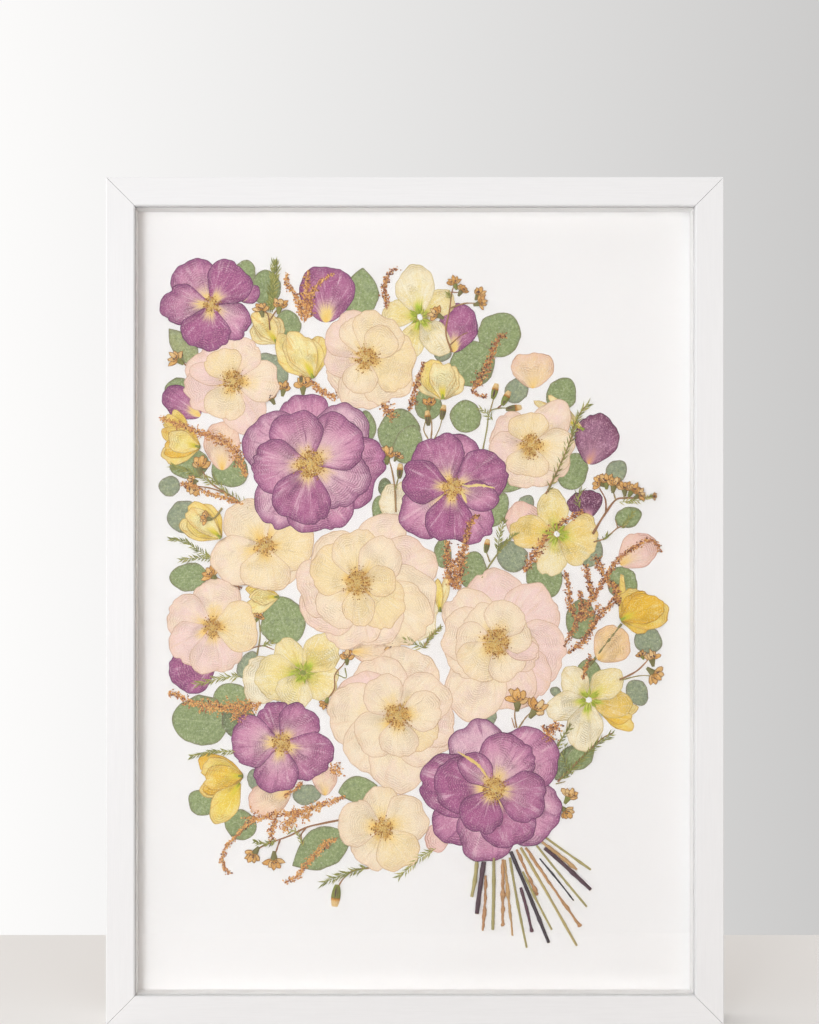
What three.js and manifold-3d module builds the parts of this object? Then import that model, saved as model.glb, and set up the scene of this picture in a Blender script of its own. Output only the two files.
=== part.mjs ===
// Framed pressed flowers: four mitred rails, a clear pane, spacer strips that keep the pane off the
// flowers, a white card, a backing board, and the flowers, leaves and stems pressed on the card.
// Millimetres, +Z up, +X to the right from the front. The front faces -Y, and the origin is at the
// middle of the underside of the bottom rail.
import * as THREE from 'three';
import { mergeVertices } from 'three/addons/utils/BufferGeometryUtils.js';
import Module from 'manifold-3d';

const wasm = await Module();
wasm.setup();

// ---- Driving sizes of the frame ----
const SIGHT_W = 410; // opening that the rails leave, an A2 sheet less a narrow lip
const SIGHT_H = 578;
const RAIL_FACE = 21; // width of a rail seen from the front
const LIP = 5; // how far the rail's lip covers the pane
const LIP_THICK = 5;
const FRONT_Y = -17.5;
const RAIL_BACK_Y = 15.5;
const EDGE_BEVEL = 0.8;
const MITRE_GAP = 0.15; // half of the hairline at a corner joint
const FIT_GAP = 0.3; // between pieces that touch
const PANE_THICK = 2;
const SPACER_DEPTH = 12;
const CARD_THICK = 2;
const BOARD_THICK = 3;

// ---- Fittings on the back ----
const POINT_THICK = 0.8;
const POINT_WIDTH = 8;
const POINT_LENGTH = 15;
const HANGER_LENGTH = 46;
const HANGER_HEIGHT = 9;
const HANGER_X = 115;
const HANGER_TEETH = 9;
const TOOTH_DEPTH = 1.6;
const TOOTHED_SHARE = 0.6; // of the hanger's length
const FITTING_DEPTH = 1.7; // hangers and bumpers stand out by the same amount
const HOOK_ROOM = 0.9; // room behind the teeth for a nail head
const HOOK_MARGIN = 1; // past the last tooth at each end
const BUMPER_R = 6;
const BUMPER_SIDES = 20;
const BUMPER_X = 190; // clear of the side rails

// ---- Relief of the pressed pieces, above the front of the card ----
const LAYER_TOP = [0.9, 1.7, 2.9, 4.2, 5.5];
const ROSE_RISE = 0.5; // from the outermost petal to the innermost
const SMALL_RISE = 0.3;
const BOSS_RISE = 0.6; // tuft of stamens in a flower's middle
const BOSS_SIDES = 9;
const BOSS_TAPER = 0.7; // its radius at the front, as a share of the one at the card

// ---- The layout sheet: steps across from its left edge and down from its top edge ----
const STEP = 0.742;
const SHEET_LEFT = -307.3;
const SHEET_TOP = 755.8;

const OUTER_W = SIGHT_W + 2 * RAIL_FACE;
const OUTER_H = SIGHT_H + 2 * RAIL_FACE;
const SEAT_W = SIGHT_W + 2 * LIP - 2 * FIT_GAP; // what lies in the rebate
const SEAT_H = SIGHT_H + 2 * LIP - 2 * FIT_GAP;
const PANE_Y = FRONT_Y + LIP_THICK + FIT_GAP;
const SPACER_Y = PANE_Y + PANE_THICK + FIT_GAP;
const CARD_Y = SPACER_Y + SPACER_DEPTH + FIT_GAP;
const BOARD_Y = CARD_Y + CARD_THICK + FIT_GAP;
const POINT_Y = BOARD_Y + BOARD_THICK + FIT_GAP;
const FITTING_Y = RAIL_BACK_Y + FIT_GAP;

function finish(color, roughness, metalness = 0) {
  return new THREE.MeshStandardMaterial({ color, roughness, metalness });
}

const WHITE_PAINT = finish(0xf6f6f4, 0.5);
const WHITE_FOAM = finish(0xf3f3f1, 0.8);
const WHITE_CARD = finish(0xf7f7f5, 0.9);
const HARDBOARD = finish(0xa88a66, 0.85);
const STEEL = finish(0xb9bbbe, 0.35, 1);
const FELT = finish(0xd9d6cf, 0.95);
const CLEAR = new THREE.MeshStandardMaterial({
  color: 0xffffff,
  roughness: 0.05,
  transparent: true,
  opacity: 0.2,
});
const PURPLE = finish(0xb869a6, 0.8);
const CREAM = finish(0xf7e2c6, 0.8);
const PALE_YELLOW = finish(0xf4eaae, 0.8);
const YELLOW = finish(0xf2c43a, 0.8);
const PLUM = finish(0x6e2e55, 0.8);
const LEAF = finish(0x9fb07c, 0.85);
const STEM_OLIVE = finish(0xb3a56a, 0.85);
const STEM_DARK = finish(0x4a2b38, 0.85);
const SPRAY = finish(0xd08c56, 0.9);

const part = new THREE.Group();

function add(name, geometry, material, parent = part) {
  const mesh = new THREE.Mesh(geometry, material);
  mesh.name = name;
  parent.add(mesh);
  return mesh;
}

// ---- Joining and cutting ----
function toSolid(geometry) {
  const bare = geometry.clone();
  bare.deleteAttribute('normal');
  bare.deleteAttribute('uv');
  const merged = mergeVertices(bare, 1e-4);
  return new wasm.Manifold(new wasm.Mesh({
    numProp: 3,
    vertProperties: Float32Array.from(merged.attributes.position.array),
    triVerts: Uint32Array.from(merged.index.array),
  }));
}

function toGeometry(solid) {
  const mesh = solid.getMesh();
  const geometry = new THREE.BufferGeometry();
  geometry.setAttribute('position', new THREE.BufferAttribute(mesh.vertProperties, 3));
  geometry.setIndex(new THREE.BufferAttribute(mesh.triVerts, 1));
  return geometry;
}

// An outline in the plane of the card, given depth from yBack forward to yFront
function slab(outline, yFront, yBack) {
  const geometry = new THREE.ExtrudeGeometry(new THREE.Shape(outline), {
    depth: yBack - yFront,
    bevelEnabled: false,
  });
  return geometry.rotateX(Math.PI / 2).translate(0, yBack, 0);
}

function box(width, depth, height, x, y, z) {
  return new THREE.BoxGeometry(width, depth, height).translate(x, y + depth / 2, z);
}

// ---- Rails: one rebated moulding, cut at 45 degrees and turned into four places ----
const MOULDING = [
  [0, FRONT_Y + EDGE_BEVEL],
  [EDGE_BEVEL, FRONT_Y],
  [RAIL_FACE - EDGE_BEVEL, FRONT_Y],
  [RAIL_FACE, FRONT_Y + EDGE_BEVEL],
  [RAIL_FACE, FRONT_Y + LIP_THICK],
  [RAIL_FACE - LIP, FRONT_Y + LIP_THICK],
  [RAIL_FACE - LIP, RAIL_BACK_Y],
  [0, RAIL_BACK_Y],
];

// The rail lies below the frame's centre; its ends lean inward as it nears the sight edge
function rail(length, distance) {
  const section = new THREE.Shape(MOULDING.map(([across, y]) => new THREE.Vector2(across, y)));
  const geometry = new THREE.ExtrudeGeometry(section, { depth: 1, bevelEnabled: false });
  const place = geometry.attributes.position;
  for (let i = 0; i < place.count; i += 1) {
    const across = place.getX(i);
    const end = place.getZ(i) < 0.5 ? 1 : -1;
    const along = end * (length / 2 - across - MITRE_GAP);
    place.setXYZ(i, along, place.getY(i), across - distance);
  }
  return geometry;
}

const frame = new THREE.Group();
frame.position.z = OUTER_H / 2;
part.add(frame);

add('rail_bottom', rail(OUTER_W, OUTER_H / 2), WHITE_PAINT, frame);
add('rail_top', rail(OUTER_W, OUTER_H / 2), WHITE_PAINT, frame).rotation.y = Math.PI;
add('rail_left', rail(OUTER_H, OUTER_W / 2), WHITE_PAINT, frame).rotation.y = Math.PI / 2;
add('rail_right', rail(OUTER_H, OUTER_W / 2), WHITE_PAINT, frame).rotation.y = -Math.PI / 2;

// ---- What lies in the rebate, from the front to the back ----
add('glazing', box(SEAT_W, PANE_THICK, SEAT_H, 0, PANE_Y, 0), CLEAR, frame);

const STRIP = LIP - FIT_GAP;
for (const [name, side] of [['top', 1], ['bottom', -1]]) {
  const height = side * (SIGHT_H + STRIP) / 2;
  add(`spacer_${name}`, box(SEAT_W, SPACER_DEPTH, STRIP, 0, SPACER_Y, height), WHITE_FOAM, frame);
}
for (const [name, side] of [['left', -1], ['right', 1]]) {
  const length = SIGHT_H - 2 * FIT_GAP;
  const across = side * (SIGHT_W + STRIP) / 2;
  add(`spacer_${name}`, box(STRIP, SPACER_DEPTH, length, across, SPACER_Y, 0), WHITE_FOAM, frame);
}
add('mount_card', box(SEAT_W, CARD_THICK, SEAT_H, 0, CARD_Y, 0), WHITE_CARD, frame);
add('backing_board', box(SEAT_W, BOARD_THICK, SEAT_H, 0, BOARD_Y, 0), HARDBOARD, frame);

// ---- Flat steel points that hold the board in the rebate ----
function retainingPoint(x, z, turn) {
  const half = POINT_WIDTH / 2;
  const shoulder = POINT_LENGTH - half;
  const outline = [[0, -half], [shoulder, -half], [POINT_LENGTH, 0], [shoulder, half], [0, half]];
  const hub = new THREE.Vector2();
  const shape = outline.map(([along, across]) => new THREE.Vector2(along, across).rotateAround(hub, turn));
  return slab(shape, POINT_Y, POINT_Y + POINT_THICK).translate(x, 0, z);
}

const WALL_X = SEAT_W / 2;
const WALL_Z = SEAT_H / 2;
const POINTS = {
  point_left_upper: [-WALL_X, WALL_Z / 2, 0],
  point_left_lower: [-WALL_X, -WALL_Z / 2, 0],
  point_right_upper: [WALL_X, WALL_Z / 2, Math.PI],
  point_right_lower: [WALL_X, -WALL_Z / 2, Math.PI],
  point_top: [0, WALL_Z, -Math.PI / 2],
  point_bottom: [0, -WALL_Z, Math.PI / 2],
};
for (const [name, [x, z, turn]] of Object.entries(POINTS)) {
  add(name, retainingPoint(x, z, turn), STEEL, frame);
}

// ---- Saw-tooth hangers on the top rail and bumpers on the bottom rail ----
function hanger(x, z) {
  const side = HANGER_LENGTH / 2;
  const top = HANGER_HEIGHT / 2;
  const toothed = HANGER_LENGTH * TOOTHED_SHARE;
  const outline = [[side, -top], [side, top], [-side, top], [-side, -top]];
  for (let i = 0; i <= 2 * HANGER_TEETH; i += 1) {
    const along = -toothed / 2 + (toothed * i) / (2 * HANGER_TEETH);
    outline.push([along, i % 2 === 0 ? -top : TOOTH_DEPTH - top]);
  }
  const shape = outline.map(([along, up]) => new THREE.Vector2(along, up));
  const plate = toSolid(slab(shape, FITTING_Y, FITTING_Y + FITTING_DEPTH));
  // The room is twice the plate's height and its middle lies low, so it opens at the teeth
  const roomWidth = toothed + 2 * HOOK_MARGIN;
  const roomZ = -HANGER_HEIGHT / 3;
  const room = box(roomWidth, 2 * HOOK_ROOM, 2 * HANGER_HEIGHT, 0, FITTING_Y - HOOK_ROOM, roomZ);
  return toGeometry(plate.subtract(toSolid(room))).translate(x, 0, z);
}

const HANGER_Z = (OUTER_H - (RAIL_FACE - LIP)) / 2; // middle of the top rail's back
add('hanger_left', hanger(-HANGER_X, HANGER_Z), STEEL, frame);
add('hanger_right', hanger(HANGER_X, HANGER_Z), STEEL, frame);
for (const [name, side] of [['left', -1], ['right', 1]]) {
  const disc = new THREE.CylinderGeometry(BUMPER_R, BUMPER_R, FITTING_DEPTH, BUMPER_SIDES);
  disc.translate(side * BUMPER_X, FITTING_Y + FITTING_DEPTH / 2, -HANGER_Z);
  add(`bumper_${name}`, disc, FELT, frame);
}

// ---- Outlines of the pressed pieces ----
function onCard([across, down]) {
  return new THREE.Vector2(SHEET_LEFT + STEP * across, SHEET_TOP - STEP * down);
}

// Half-widths at stations along the length, as shares of half the width
const PETAL_FORM = [[0, 0.16], [0.3, 0.76], [0.62, 1], [0.88, 0.76], [1, 0.3]];
const LEAF_FORM = [[0, 0.08], [0.18, 0.6], [0.45, 1], [0.75, 0.68], [1, 0.06]];
const CUP_FORM = [[0, 0.34], [0.3, 0.66], [0.65, 1], [0.92, 0.86], [1, 0.4]];
const LOBE_STEPS = 4; // along each stretch of a plume
const LOBE_WAIST = 0.55; // of the plume's width, between two lobes

function bladeOutline(form, base, [angle, length, width], grow) {
  const turn = THREE.MathUtils.degToRad(angle);
  const long = STEP * length + 2 * grow;
  const half = (STEP * width) / 2 + grow;
  const edge = (side) => form.map(([share, wide]) => (
    new THREE.Vector2(share * long - grow, side * wide * half)
  ));
  const outline = [...edge(-1), ...edge(1).reverse()];
  return outline.map((point) => point.rotateAround(new THREE.Vector2(), turn).add(base));
}

// A strip along a route that swells and narrows by turns, as a plume of small florets does
function plumeOutline(route, startWidth, endWidth, lobed, grow) {
  const path = new THREE.CatmullRomCurve3(route.map((place) => {
    const { x, y } = onCard(place);
    return new THREE.Vector3(x, y, 0);
  }));
  const steps = (route.length - 1) * (lobed ? LOBE_STEPS : 1);
  const left = [];
  const right = [];
  for (let i = 0; i <= steps; i += 1) {
    const t = i / steps;
    const swell = lobed && i % 2 === 0 ? LOBE_WAIST : 1;
    const half = (STEP * THREE.MathUtils.lerp(startWidth, endWidth, t) * swell) / 2 + grow;
    const heading = path.getTangent(t);
    const centre = path.getPoint(t);
    left.push(new THREE.Vector2(centre.x - heading.y * half, centre.y + heading.x * half));
    right.push(new THREE.Vector2(centre.x + heading.y * half, centre.y - heading.x * half));
  }
  return [...right, ...left.reverse()];
}

// ---- One pressed piece: overlapping slabs, each a little higher than the one before ----
function relief(outlines, layer, rise, grow) {
  const lift = rise / Math.max(outlines.length - 1, 1);
  const top = CARD_Y - LAYER_TOP[layer] - grow;
  const back = CARD_Y - FIT_GAP + grow;
  return outlines
    .map((outline, i) => toSolid(slab(outline, top - lift * i, back)))
    .reduce((whole, piece) => whole.add(piece));
}

function withBoss(solid, centre, radius, layer, grow) {
  const low = FIT_GAP - grow;
  const high = LAYER_TOP[layer] + ROSE_RISE + BOSS_RISE + grow;
  const tip = radius * BOSS_TAPER + grow;
  const boss = new THREE.CylinderGeometry(radius + grow, tip, high - low, BOSS_SIDES);
  boss.translate(centre.x, CARD_Y - (high + low) / 2, centre.y);
  return solid.add(toSolid(boss));
}

const flower = (at, petals, boss, layer, material, form = PETAL_FORM) => ({
  material,
  make(grow) {
    const centre = onCard(at);
    const rise = layer > 1 ? ROSE_RISE : SMALL_RISE;
    const body = relief(petals.map((petal) => bladeOutline(form, centre, petal, grow)), layer, rise, grow);
    return boss ? withBoss(body, centre, STEP * boss, layer, grow) : body;
  },
});

const leaf = (at, blade) => flower(at, [blade], 0, 0, LEAF, LEAF_FORM);

const plume = (routes, layer, material, lobed = true) => ({
  material,
  make: (grow) => relief(
    routes.map(([route, start, end]) => plumeOutline(route, start, end, lobed, grow)),
    layer,
    0,
    grow,
  ),
});

// ---- Every pressed piece that is modelled here, lowest first. A blade is [angle, length, width] ----
const PRESSED = {
  leaf_large_left: leaf([229, 721], [175, 57, 51]),
  leaf_pointed_low: leaf([350, 835], [208, 66, 42]),
  leaf_round_left: leaf([291, 599], [-110, 52, 46]),
  leaf_top: leaf([357, 319], [82, 52, 40]),
  leaf_upper_right: leaf([496, 349], [220, 48, 46]),
  leaf_right: leaf([575, 640], [80, 42, 30]),
  stem_dark_short: plume([[[[484, 862], [477, 914]], 5, 4]], 0, STEM_DARK, false),
  stem_olive_straight: plume([[[[494, 858], [493, 930]], 4, 4]], 0, STEM_OLIVE, false),
  stem_black_long: plume([[[[511, 852], [549, 943]], 4.4, 4]], 0, STEM_DARK, false),
  stem_olive_long: plume([[[[521, 848], [577, 946]], 3.6, 3.6]], 0, STEM_OLIVE, false),
  stem_plum_right: plume([[[[545, 848], [591, 890]], 4.6, 4.4]], 0, STEM_DARK, false),
  spray_left: plume([[[[246, 478], [230, 445], [195, 430], [160, 417]], 13, 5]], 1, SPRAY),
  spray_low: plume([
    [[[346, 796], [300, 812], [252, 822], [224, 850], [231, 874]], 9, 5],
    [[[303, 811], [292, 822], [282, 832]], 10, 7],
  ], 1, SPRAY),
  spray_right: plume([
    [[[564, 648], [592, 600], [618, 560], [650, 541], [660, 552]], 7, 5],
    [[[566, 644], [598, 618], [622, 600]], 7, 5],
  ], 1, SPRAY),
  petal_purple_top: flower([327, 322], [[88, 60, 56]], 0, 1, PURPLE),
  petal_plum_right: flower([591, 466], [[77, 49, 45]], 0, 1, PLUM),
  hellebore_top: flower(
    [420, 317],
    [[168, 38, 26], [40, 44, 27], [-105, 44, 26], [-50, 42, 29], [100, 53, 40]],
    9,
    1,
    PALE_YELLOW,
  ),
  hellebore_right: flower(
    [557, 534],
    [[98, 45, 32], [-105, 45, 30], [175, 46, 32], [-16, 42, 50]],
    9,
    1,
    PALE_YELLOW,
  ),
  hellebore_low_right: flower(
    [589, 700],
    [[128, 40, 28], [-168, 43, 28], [42, 40, 30], [-95, 48, 36], [-12, 46, 30]],
    9,
    1,
    PALE_YELLOW,
  ),
  hellebore_low_left: flower(
    [303, 673],
    [[132, 40, 32], [-28, 40, 36], [48, 48, 38], [190, 46, 46], [-115, 38, 38]],
    9,
    1,
    PALE_YELLOW,
  ),
  freesia_upper_left: flower([312, 377], [[118, 52, 42]], 0, 1, YELLOW, CUP_FORM),
  freesia_upper_middle: flower([443, 399], [[92, 39, 46]], 0, 1, YELLOW, CUP_FORM),
  freesia_left: flower([221, 538], [[140, 48, 34]], 0, 1, YELLOW, CUP_FORM),
  freesia_right: flower([621, 620], [[28, 48, 50]], 0, 1, YELLOW, CUP_FORM),
  freesia_low_left: flower([243, 776], [[183, 47, 40], [-128, 46, 22]], 0, 1, YELLOW, CUP_FORM),
  rose_cream_top: flower(
    [366, 358],
    [[-130, 48, 46], [168, 44, 50], [-98, 52, 46], [-50, 54, 50], [128, 50, 48], [98, 49, 44],
      [-8, 49, 60], [62, 50, 52]],
    11,
    2,
    CREAM,
  ),
  rose_cream_left: flower(
    [233, 381],
    [[150, 50, 46], [-70, 52, 44], [0, 47, 42], [200, 50, 46], [80, 46, 46]],
    11,
    2,
    CREAM,
  ),
  rose_cream_right: flower(
    [531, 445],
    [[48, 56, 36], [150, 44, 42], [195, 44, 42], [-52, 46, 42], [-90, 46, 52], [-8, 44, 42], [98, 33, 40]],
    10,
    2,
    CREAM,
  ),
  rose_cream_mid_left: flower(
    [265, 546],
    [[-135, 48, 46], [60, 46, 46], [-45, 47, 46], [125, 51, 48], [205, 55, 50]],
    8,
    2,
    CREAM,
  ),
  rose_blush_left: flower(
    [212, 627],
    [[80, 47, 48], [160, 48, 46], [-145, 50, 44], [-80, 48, 50], [2, 46, 50]],
    9,
    2,
    CREAM,
  ),
  rose_cream_centre: flower(
    [358, 583],
    [[62, 76, 52], [10, 84, 60], [-38, 78, 60], [-100, 68, 60], [-140, 68, 56], [186, 64, 60], [128, 58, 54],
      [155, 50, 50], [95, 54, 46], [44, 54, 44]],
    13,
    3,
    CREAM,
  ),
  rose_cream_lower_right: flower(
    [496, 642],
    [[85, 72, 60], [36, 76, 62], [-14, 72, 62], [-50, 76, 58], [-78, 74, 56], [-116, 84, 60],
      [200, 56, 52], [136, 66, 50], [166, 54, 54], [-18, 48, 36], [68, 44, 40]],
    13,
    3,
    CREAM,
  ),
  rose_cream_low: flower(
    [398, 716],
    [[74, 70, 62], [120, 64, 56], [178, 72, 60], [-130, 72, 58], [-88, 76, 56], [-46, 62, 52], [-4, 60, 56],
      [34, 56, 52], [128, 44, 42]],
    12,
    2,
    CREAM,
  ),
  rose_cream_bottom: flower(
    [383, 829],
    [[94, 44, 34], [26, 48, 48], [-115, 42, 44], [170, 46, 46], [-58, 46, 44]],
    9,
    2,
    CREAM,
  ),
  rose_purple_corner: flower(
    [211, 304],
    [[122, 53, 46], [-40, 46, 38], [180, 53, 39], [-100, 48, 48], [50, 50, 46]],
    10,
    4,
    PURPLE,
  ),
  rose_purple_large: flower(
    [310, 464],
    [[98, 75, 56], [42, 74, 56], [-128, 75, 56], [-12, 77, 72], [-78, 74, 68], [148, 72, 64], [-30, 64, 58],
      [112, 56, 52], [185, 60, 54]],
    13,
    4,
    PURPLE,
  ),
  rose_purple_middle: flower(
    [452, 488],
    [[75, 55, 44], [-135, 62, 52], [-62, 64, 46], [22, 60, 50], [118, 56, 54], [170, 54, 42], [-93, 56, 44]],
    9,
    4,
    PURPLE,
  ),
  rose_purple_low: flower(
    [494, 789],
    [[112, 74, 60], [-140, 74, 52], [-35, 76, 64], [-97, 76, 60], [42, 76, 64], [178, 76, 60], [68, 56, 56],
      [-68, 62, 56], [177, 62, 54]],
    13,
    4,
    PURPLE,
  ),
  rose_purple_small: flower(
    [281, 743],
    [[104, 42, 36], [50, 46, 40], [-28, 54, 50], [-98, 53, 42], [180, 50, 50]],
    11,
    4,
    PURPLE,
  ),
};

// Each piece lies over the ones before it, so it is hollowed where it covers them
const placed = [];
for (const [name, piece] of Object.entries(PRESSED)) {
  const body = placed.reduce((rest, lower) => rest.subtract(lower), piece.make(0));
  placed.push(piece.make(FIT_GAP));
  add(name, toGeometry(body), piece.material);
}

export default part;
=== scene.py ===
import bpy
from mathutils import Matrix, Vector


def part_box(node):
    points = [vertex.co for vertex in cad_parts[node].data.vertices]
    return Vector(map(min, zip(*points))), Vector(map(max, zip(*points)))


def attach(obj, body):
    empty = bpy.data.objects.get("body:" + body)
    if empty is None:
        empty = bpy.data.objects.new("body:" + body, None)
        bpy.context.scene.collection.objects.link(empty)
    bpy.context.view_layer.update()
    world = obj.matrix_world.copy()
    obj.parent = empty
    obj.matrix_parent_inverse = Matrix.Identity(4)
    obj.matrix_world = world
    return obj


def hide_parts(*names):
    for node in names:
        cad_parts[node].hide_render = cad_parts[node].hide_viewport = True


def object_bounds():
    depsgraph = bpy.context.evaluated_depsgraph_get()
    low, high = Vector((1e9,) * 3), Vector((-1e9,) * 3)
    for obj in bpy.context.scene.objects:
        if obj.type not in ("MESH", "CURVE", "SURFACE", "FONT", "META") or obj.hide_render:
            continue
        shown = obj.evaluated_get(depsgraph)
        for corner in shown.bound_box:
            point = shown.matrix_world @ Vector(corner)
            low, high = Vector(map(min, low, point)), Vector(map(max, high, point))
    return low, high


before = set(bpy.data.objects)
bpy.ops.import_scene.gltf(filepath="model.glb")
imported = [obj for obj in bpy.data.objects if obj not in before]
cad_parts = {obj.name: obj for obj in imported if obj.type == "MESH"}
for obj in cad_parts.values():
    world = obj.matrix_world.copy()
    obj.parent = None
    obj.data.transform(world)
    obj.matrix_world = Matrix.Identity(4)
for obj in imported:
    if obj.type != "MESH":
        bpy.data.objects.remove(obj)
frame_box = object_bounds()
print("measured pieces:", len(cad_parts))

# %% [markdown]
# Blender counts in metres and in linear light. Makers count in millimetres and pick colours as sRGB
# hex codes, so both are turned over in one place. One helper adds a shader node, sets it and links
# it: a number or colour goes on the socket itself, and a socket is linked.
# %% Units, colours and nodes
import math

import bpy
import numpy as np

MM = 0.001


def linear(code):
    """An sRGB hex colour as linear red, green, blue and alpha."""
    parts = [int(code[i:i + 2], 16) / 255 for i in (1, 3, 5)]
    return [c / 12.92 if c <= 0.04045 else ((c + 0.055) / 1.055) ** 2.4 for c in parts] + [1.0]


def add_node(material, kind, inputs=None, stops=None, **settings):
    """Adds one node. inputs goes by a socket's name or number to a value, or to a socket to link."""
    tree = material.node_tree
    node = tree.nodes.new(kind)
    for name, value in settings.items():
        setattr(node, name, value)
    for key, value in (inputs or {}).items():
        if isinstance(value, bpy.types.NodeSocket):
            tree.links.new(value, node.inputs[key])
        else:
            node.inputs[key].default_value = value
    if stops:
        elements = node.color_ramp.elements
        while len(elements) < len(stops):
            elements.new(1.0)
        for element, (position, code) in zip(elements, stops):
            element.position = position
            element.color = linear(code)
    return node


def new_material(name, **sockets):
    """A material with its Principled shader's plain values set."""
    material = bpy.data.materials.new(name)
    material.use_nodes = True
    shader = material.node_tree.nodes["Principled BSDF"]
    for socket, value in sockets.items():
        shader.inputs[socket.replace("_", " ")].default_value = value
    return material, shader


def link(material, source, target):
    material.node_tree.links.new(source, target)


# %% [markdown]
# The camera stands square to the picture, a little left of its middle and low, and the lens is
# shifted so that the card fills the view. A shifted lens keeps the rails parallel.
# %% Camera
VIEW_HEIGHT = 0.7483  # metres of the front plane from the bottom of the view to the top
CAMERA_X, CAMERA_Z = -0.0438, 0.318
CAMERA_DISTANCE = 1.1
VIEW_X, VIEW_Z = -0.004, 0.375  # the point of the front plane in the middle of the view
SENSOR = 36.0

camera_data = bpy.data.cameras.new("camera")
camera = bpy.data.objects.new("camera", camera_data)
bpy.context.scene.collection.objects.link(camera)
front_y = frame_box[0].y
camera.location = (CAMERA_X, front_y - CAMERA_DISTANCE, CAMERA_Z)
camera.rotation_euler = (math.radians(90), 0, 0)
camera_data.sensor_width = SENSOR
camera_data.lens = SENSOR * CAMERA_DISTANCE / VIEW_HEIGHT
camera_data.shift_x = (VIEW_X - CAMERA_X) / VIEW_HEIGHT
camera_data.shift_y = (VIEW_Z - CAMERA_Z) / VIEW_HEIGHT
bpy.context.scene.camera = camera
print("lens %.1f mm, shift %.3f, %.3f" % (camera_data.lens, camera_data.shift_x, camera_data.shift_y))

# %% [markdown]
# White on white needs soft light with a direction. The room is bright all round, brighter to the
# left, and brightest at the sides, where it opens the shadows inside the rails. The key is a tall
# soft box in front and to the left, so the card falls off to the right and every raised edge gets a
# thin shadow on its right side; a weak one stands on the right. Both are just outside the part of
# the room that the pane mirrors towards the camera.
# %% Light and floor
world = bpy.data.worlds.new("room")
world.use_nodes = True
room = world.node_tree.nodes["Background"]
facing = add_node(world, "ShaderNodeTexCoord")
facing_parts = add_node(world, "ShaderNodeSeparateXYZ", {0: facing.outputs["Generated"]})


def ramp_light(value, low, high, start, end):
    """A strength that runs from start to end as value runs from low to high."""
    return add_node(world, "ShaderNodeMapRange", {0: value, 1: low, 2: high, 3: start, 4: end}).outputs[0]


def combined(operation, first, second=0.0):
    return add_node(world, "ShaderNodeMath", {0: first, 1: second}, operation=operation).outputs[0]


depth_light = ramp_light(facing_parts.outputs["Y"], -0.35, 0.25, 0.7, 0.93)
side_light = ramp_light(facing_parts.outputs["X"], -0.35, 0.35, 1.17, 0.61)
ring_light = ramp_light(combined("ABSOLUTE", facing_parts.outputs["Y"]), 0.6, 0.86, 1.4, 1.0)
room_light = combined("MULTIPLY", combined("MULTIPLY", depth_light, side_light), ring_light)
world.node_tree.links.new(room_light, room.inputs["Strength"])
room.inputs["Color"].default_value = linear("#FDFCFB")
bpy.context.scene.world = world
bpy.context.scene.view_settings.view_transform = "Standard"


def soft_box(name, place, aim, size, watts, code):
    """A large soft light that looks from place towards aim."""
    data = bpy.data.lights.new(name, "AREA")
    data.shape = "RECTANGLE"
    data.size, data.size_y = size
    data.energy = watts
    data.color = linear(code)[:3]
    lamp = bpy.data.objects.new(name, data)
    bpy.context.scene.collection.objects.link(lamp)
    lamp.location = place
    toward = np.array(aim) - np.array(place)
    flat = math.hypot(toward[0], toward[1])
    lamp.rotation_euler = (math.atan2(flat, -toward[2]), 0, math.atan2(toward[1], toward[0]) - math.pi / 2)


LAMP_AIM = (0.0, 0.0, 0.3)  # the middle of the picture
LAMP_SIZE = (0.4, 0.9)
soft_box("key", (-0.74, -2.1, 0.45), LAMP_AIM, LAMP_SIZE, 13.7, "#FCFDFF")
soft_box("fill", (1.1, -3.0, 0.45), LAMP_AIM, LAMP_SIZE, 7.6, "#FFEADA")

FLOOR_FRONT, FLOOR_BACK, FLOOR_SIDE = -0.3, 0.27, 1.6
floor_corners = [
    (-FLOOR_SIDE, FLOOR_FRONT, 0),
    (FLOOR_SIDE, FLOOR_FRONT, 0),
    (FLOOR_SIDE, FLOOR_BACK, 0),
    (-FLOOR_SIDE, FLOOR_BACK, 0),
]
floor_mesh = bpy.data.meshes.new("floor")
floor_mesh.from_pydata(floor_corners, [], [(0, 1, 2, 3)])
floor = bpy.data.objects.new("floor", floor_mesh)
bpy.context.scene.collection.objects.link(floor)
floor_paint, _ = new_material("pale_matt_floor", Base_Color=linear("#E2DFDC"), Roughness=0.8)
floor_mesh.materials.append(floor_paint)

# %% [markdown]
# ## The frame
# The rails are a planed softwood moulding under white satin paint. Paint rounds the edges and leaves
# the faintest ripple along the grain, so a small bevel and a stretched noise are enough. The ripple
# is drawn a little deeper than life so that it shows.
# %% White satin paint
PAINT_RIPPLE = 0.9 * MM


def white_paint(name, grain_axis):
    material, shader = new_material(name, Roughness=0.42, IOR=1.5)
    spot = add_node(material, "ShaderNodeTexCoord")
    stretch = [1 / PAINT_RIPPLE] * 3
    stretch[grain_axis] = 0.04 / PAINT_RIPPLE
    ripple_at = add_node(
        material,
        "ShaderNodeVectorMath",
        {0: spot.outputs["Object"], 1: stretch},
        operation="MULTIPLY",
    )
    ripple = add_node(
        material,
        "ShaderNodeTexNoise",
        {"Vector": ripple_at.outputs[0], "Scale": 1.0, "Detail": 3.0},
    )
    tone = add_node(
        material,
        "ShaderNodeValToRGB",
        {0: ripple.outputs["Fac"]},
        stops=[(0.3, "#E9E9EA"), (0.7, "#ECECED")],
    )
    bump = add_node(
        material,
        "ShaderNodeBump",
        {"Height": ripple.outputs["Fac"], "Strength": 0.12, "Distance": 0.1 * MM},
    )
    link(material, tone.outputs["Color"], shader.inputs["Base Color"])
    link(material, bump.outputs["Normal"], shader.inputs["Normal"])
    return material


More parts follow.
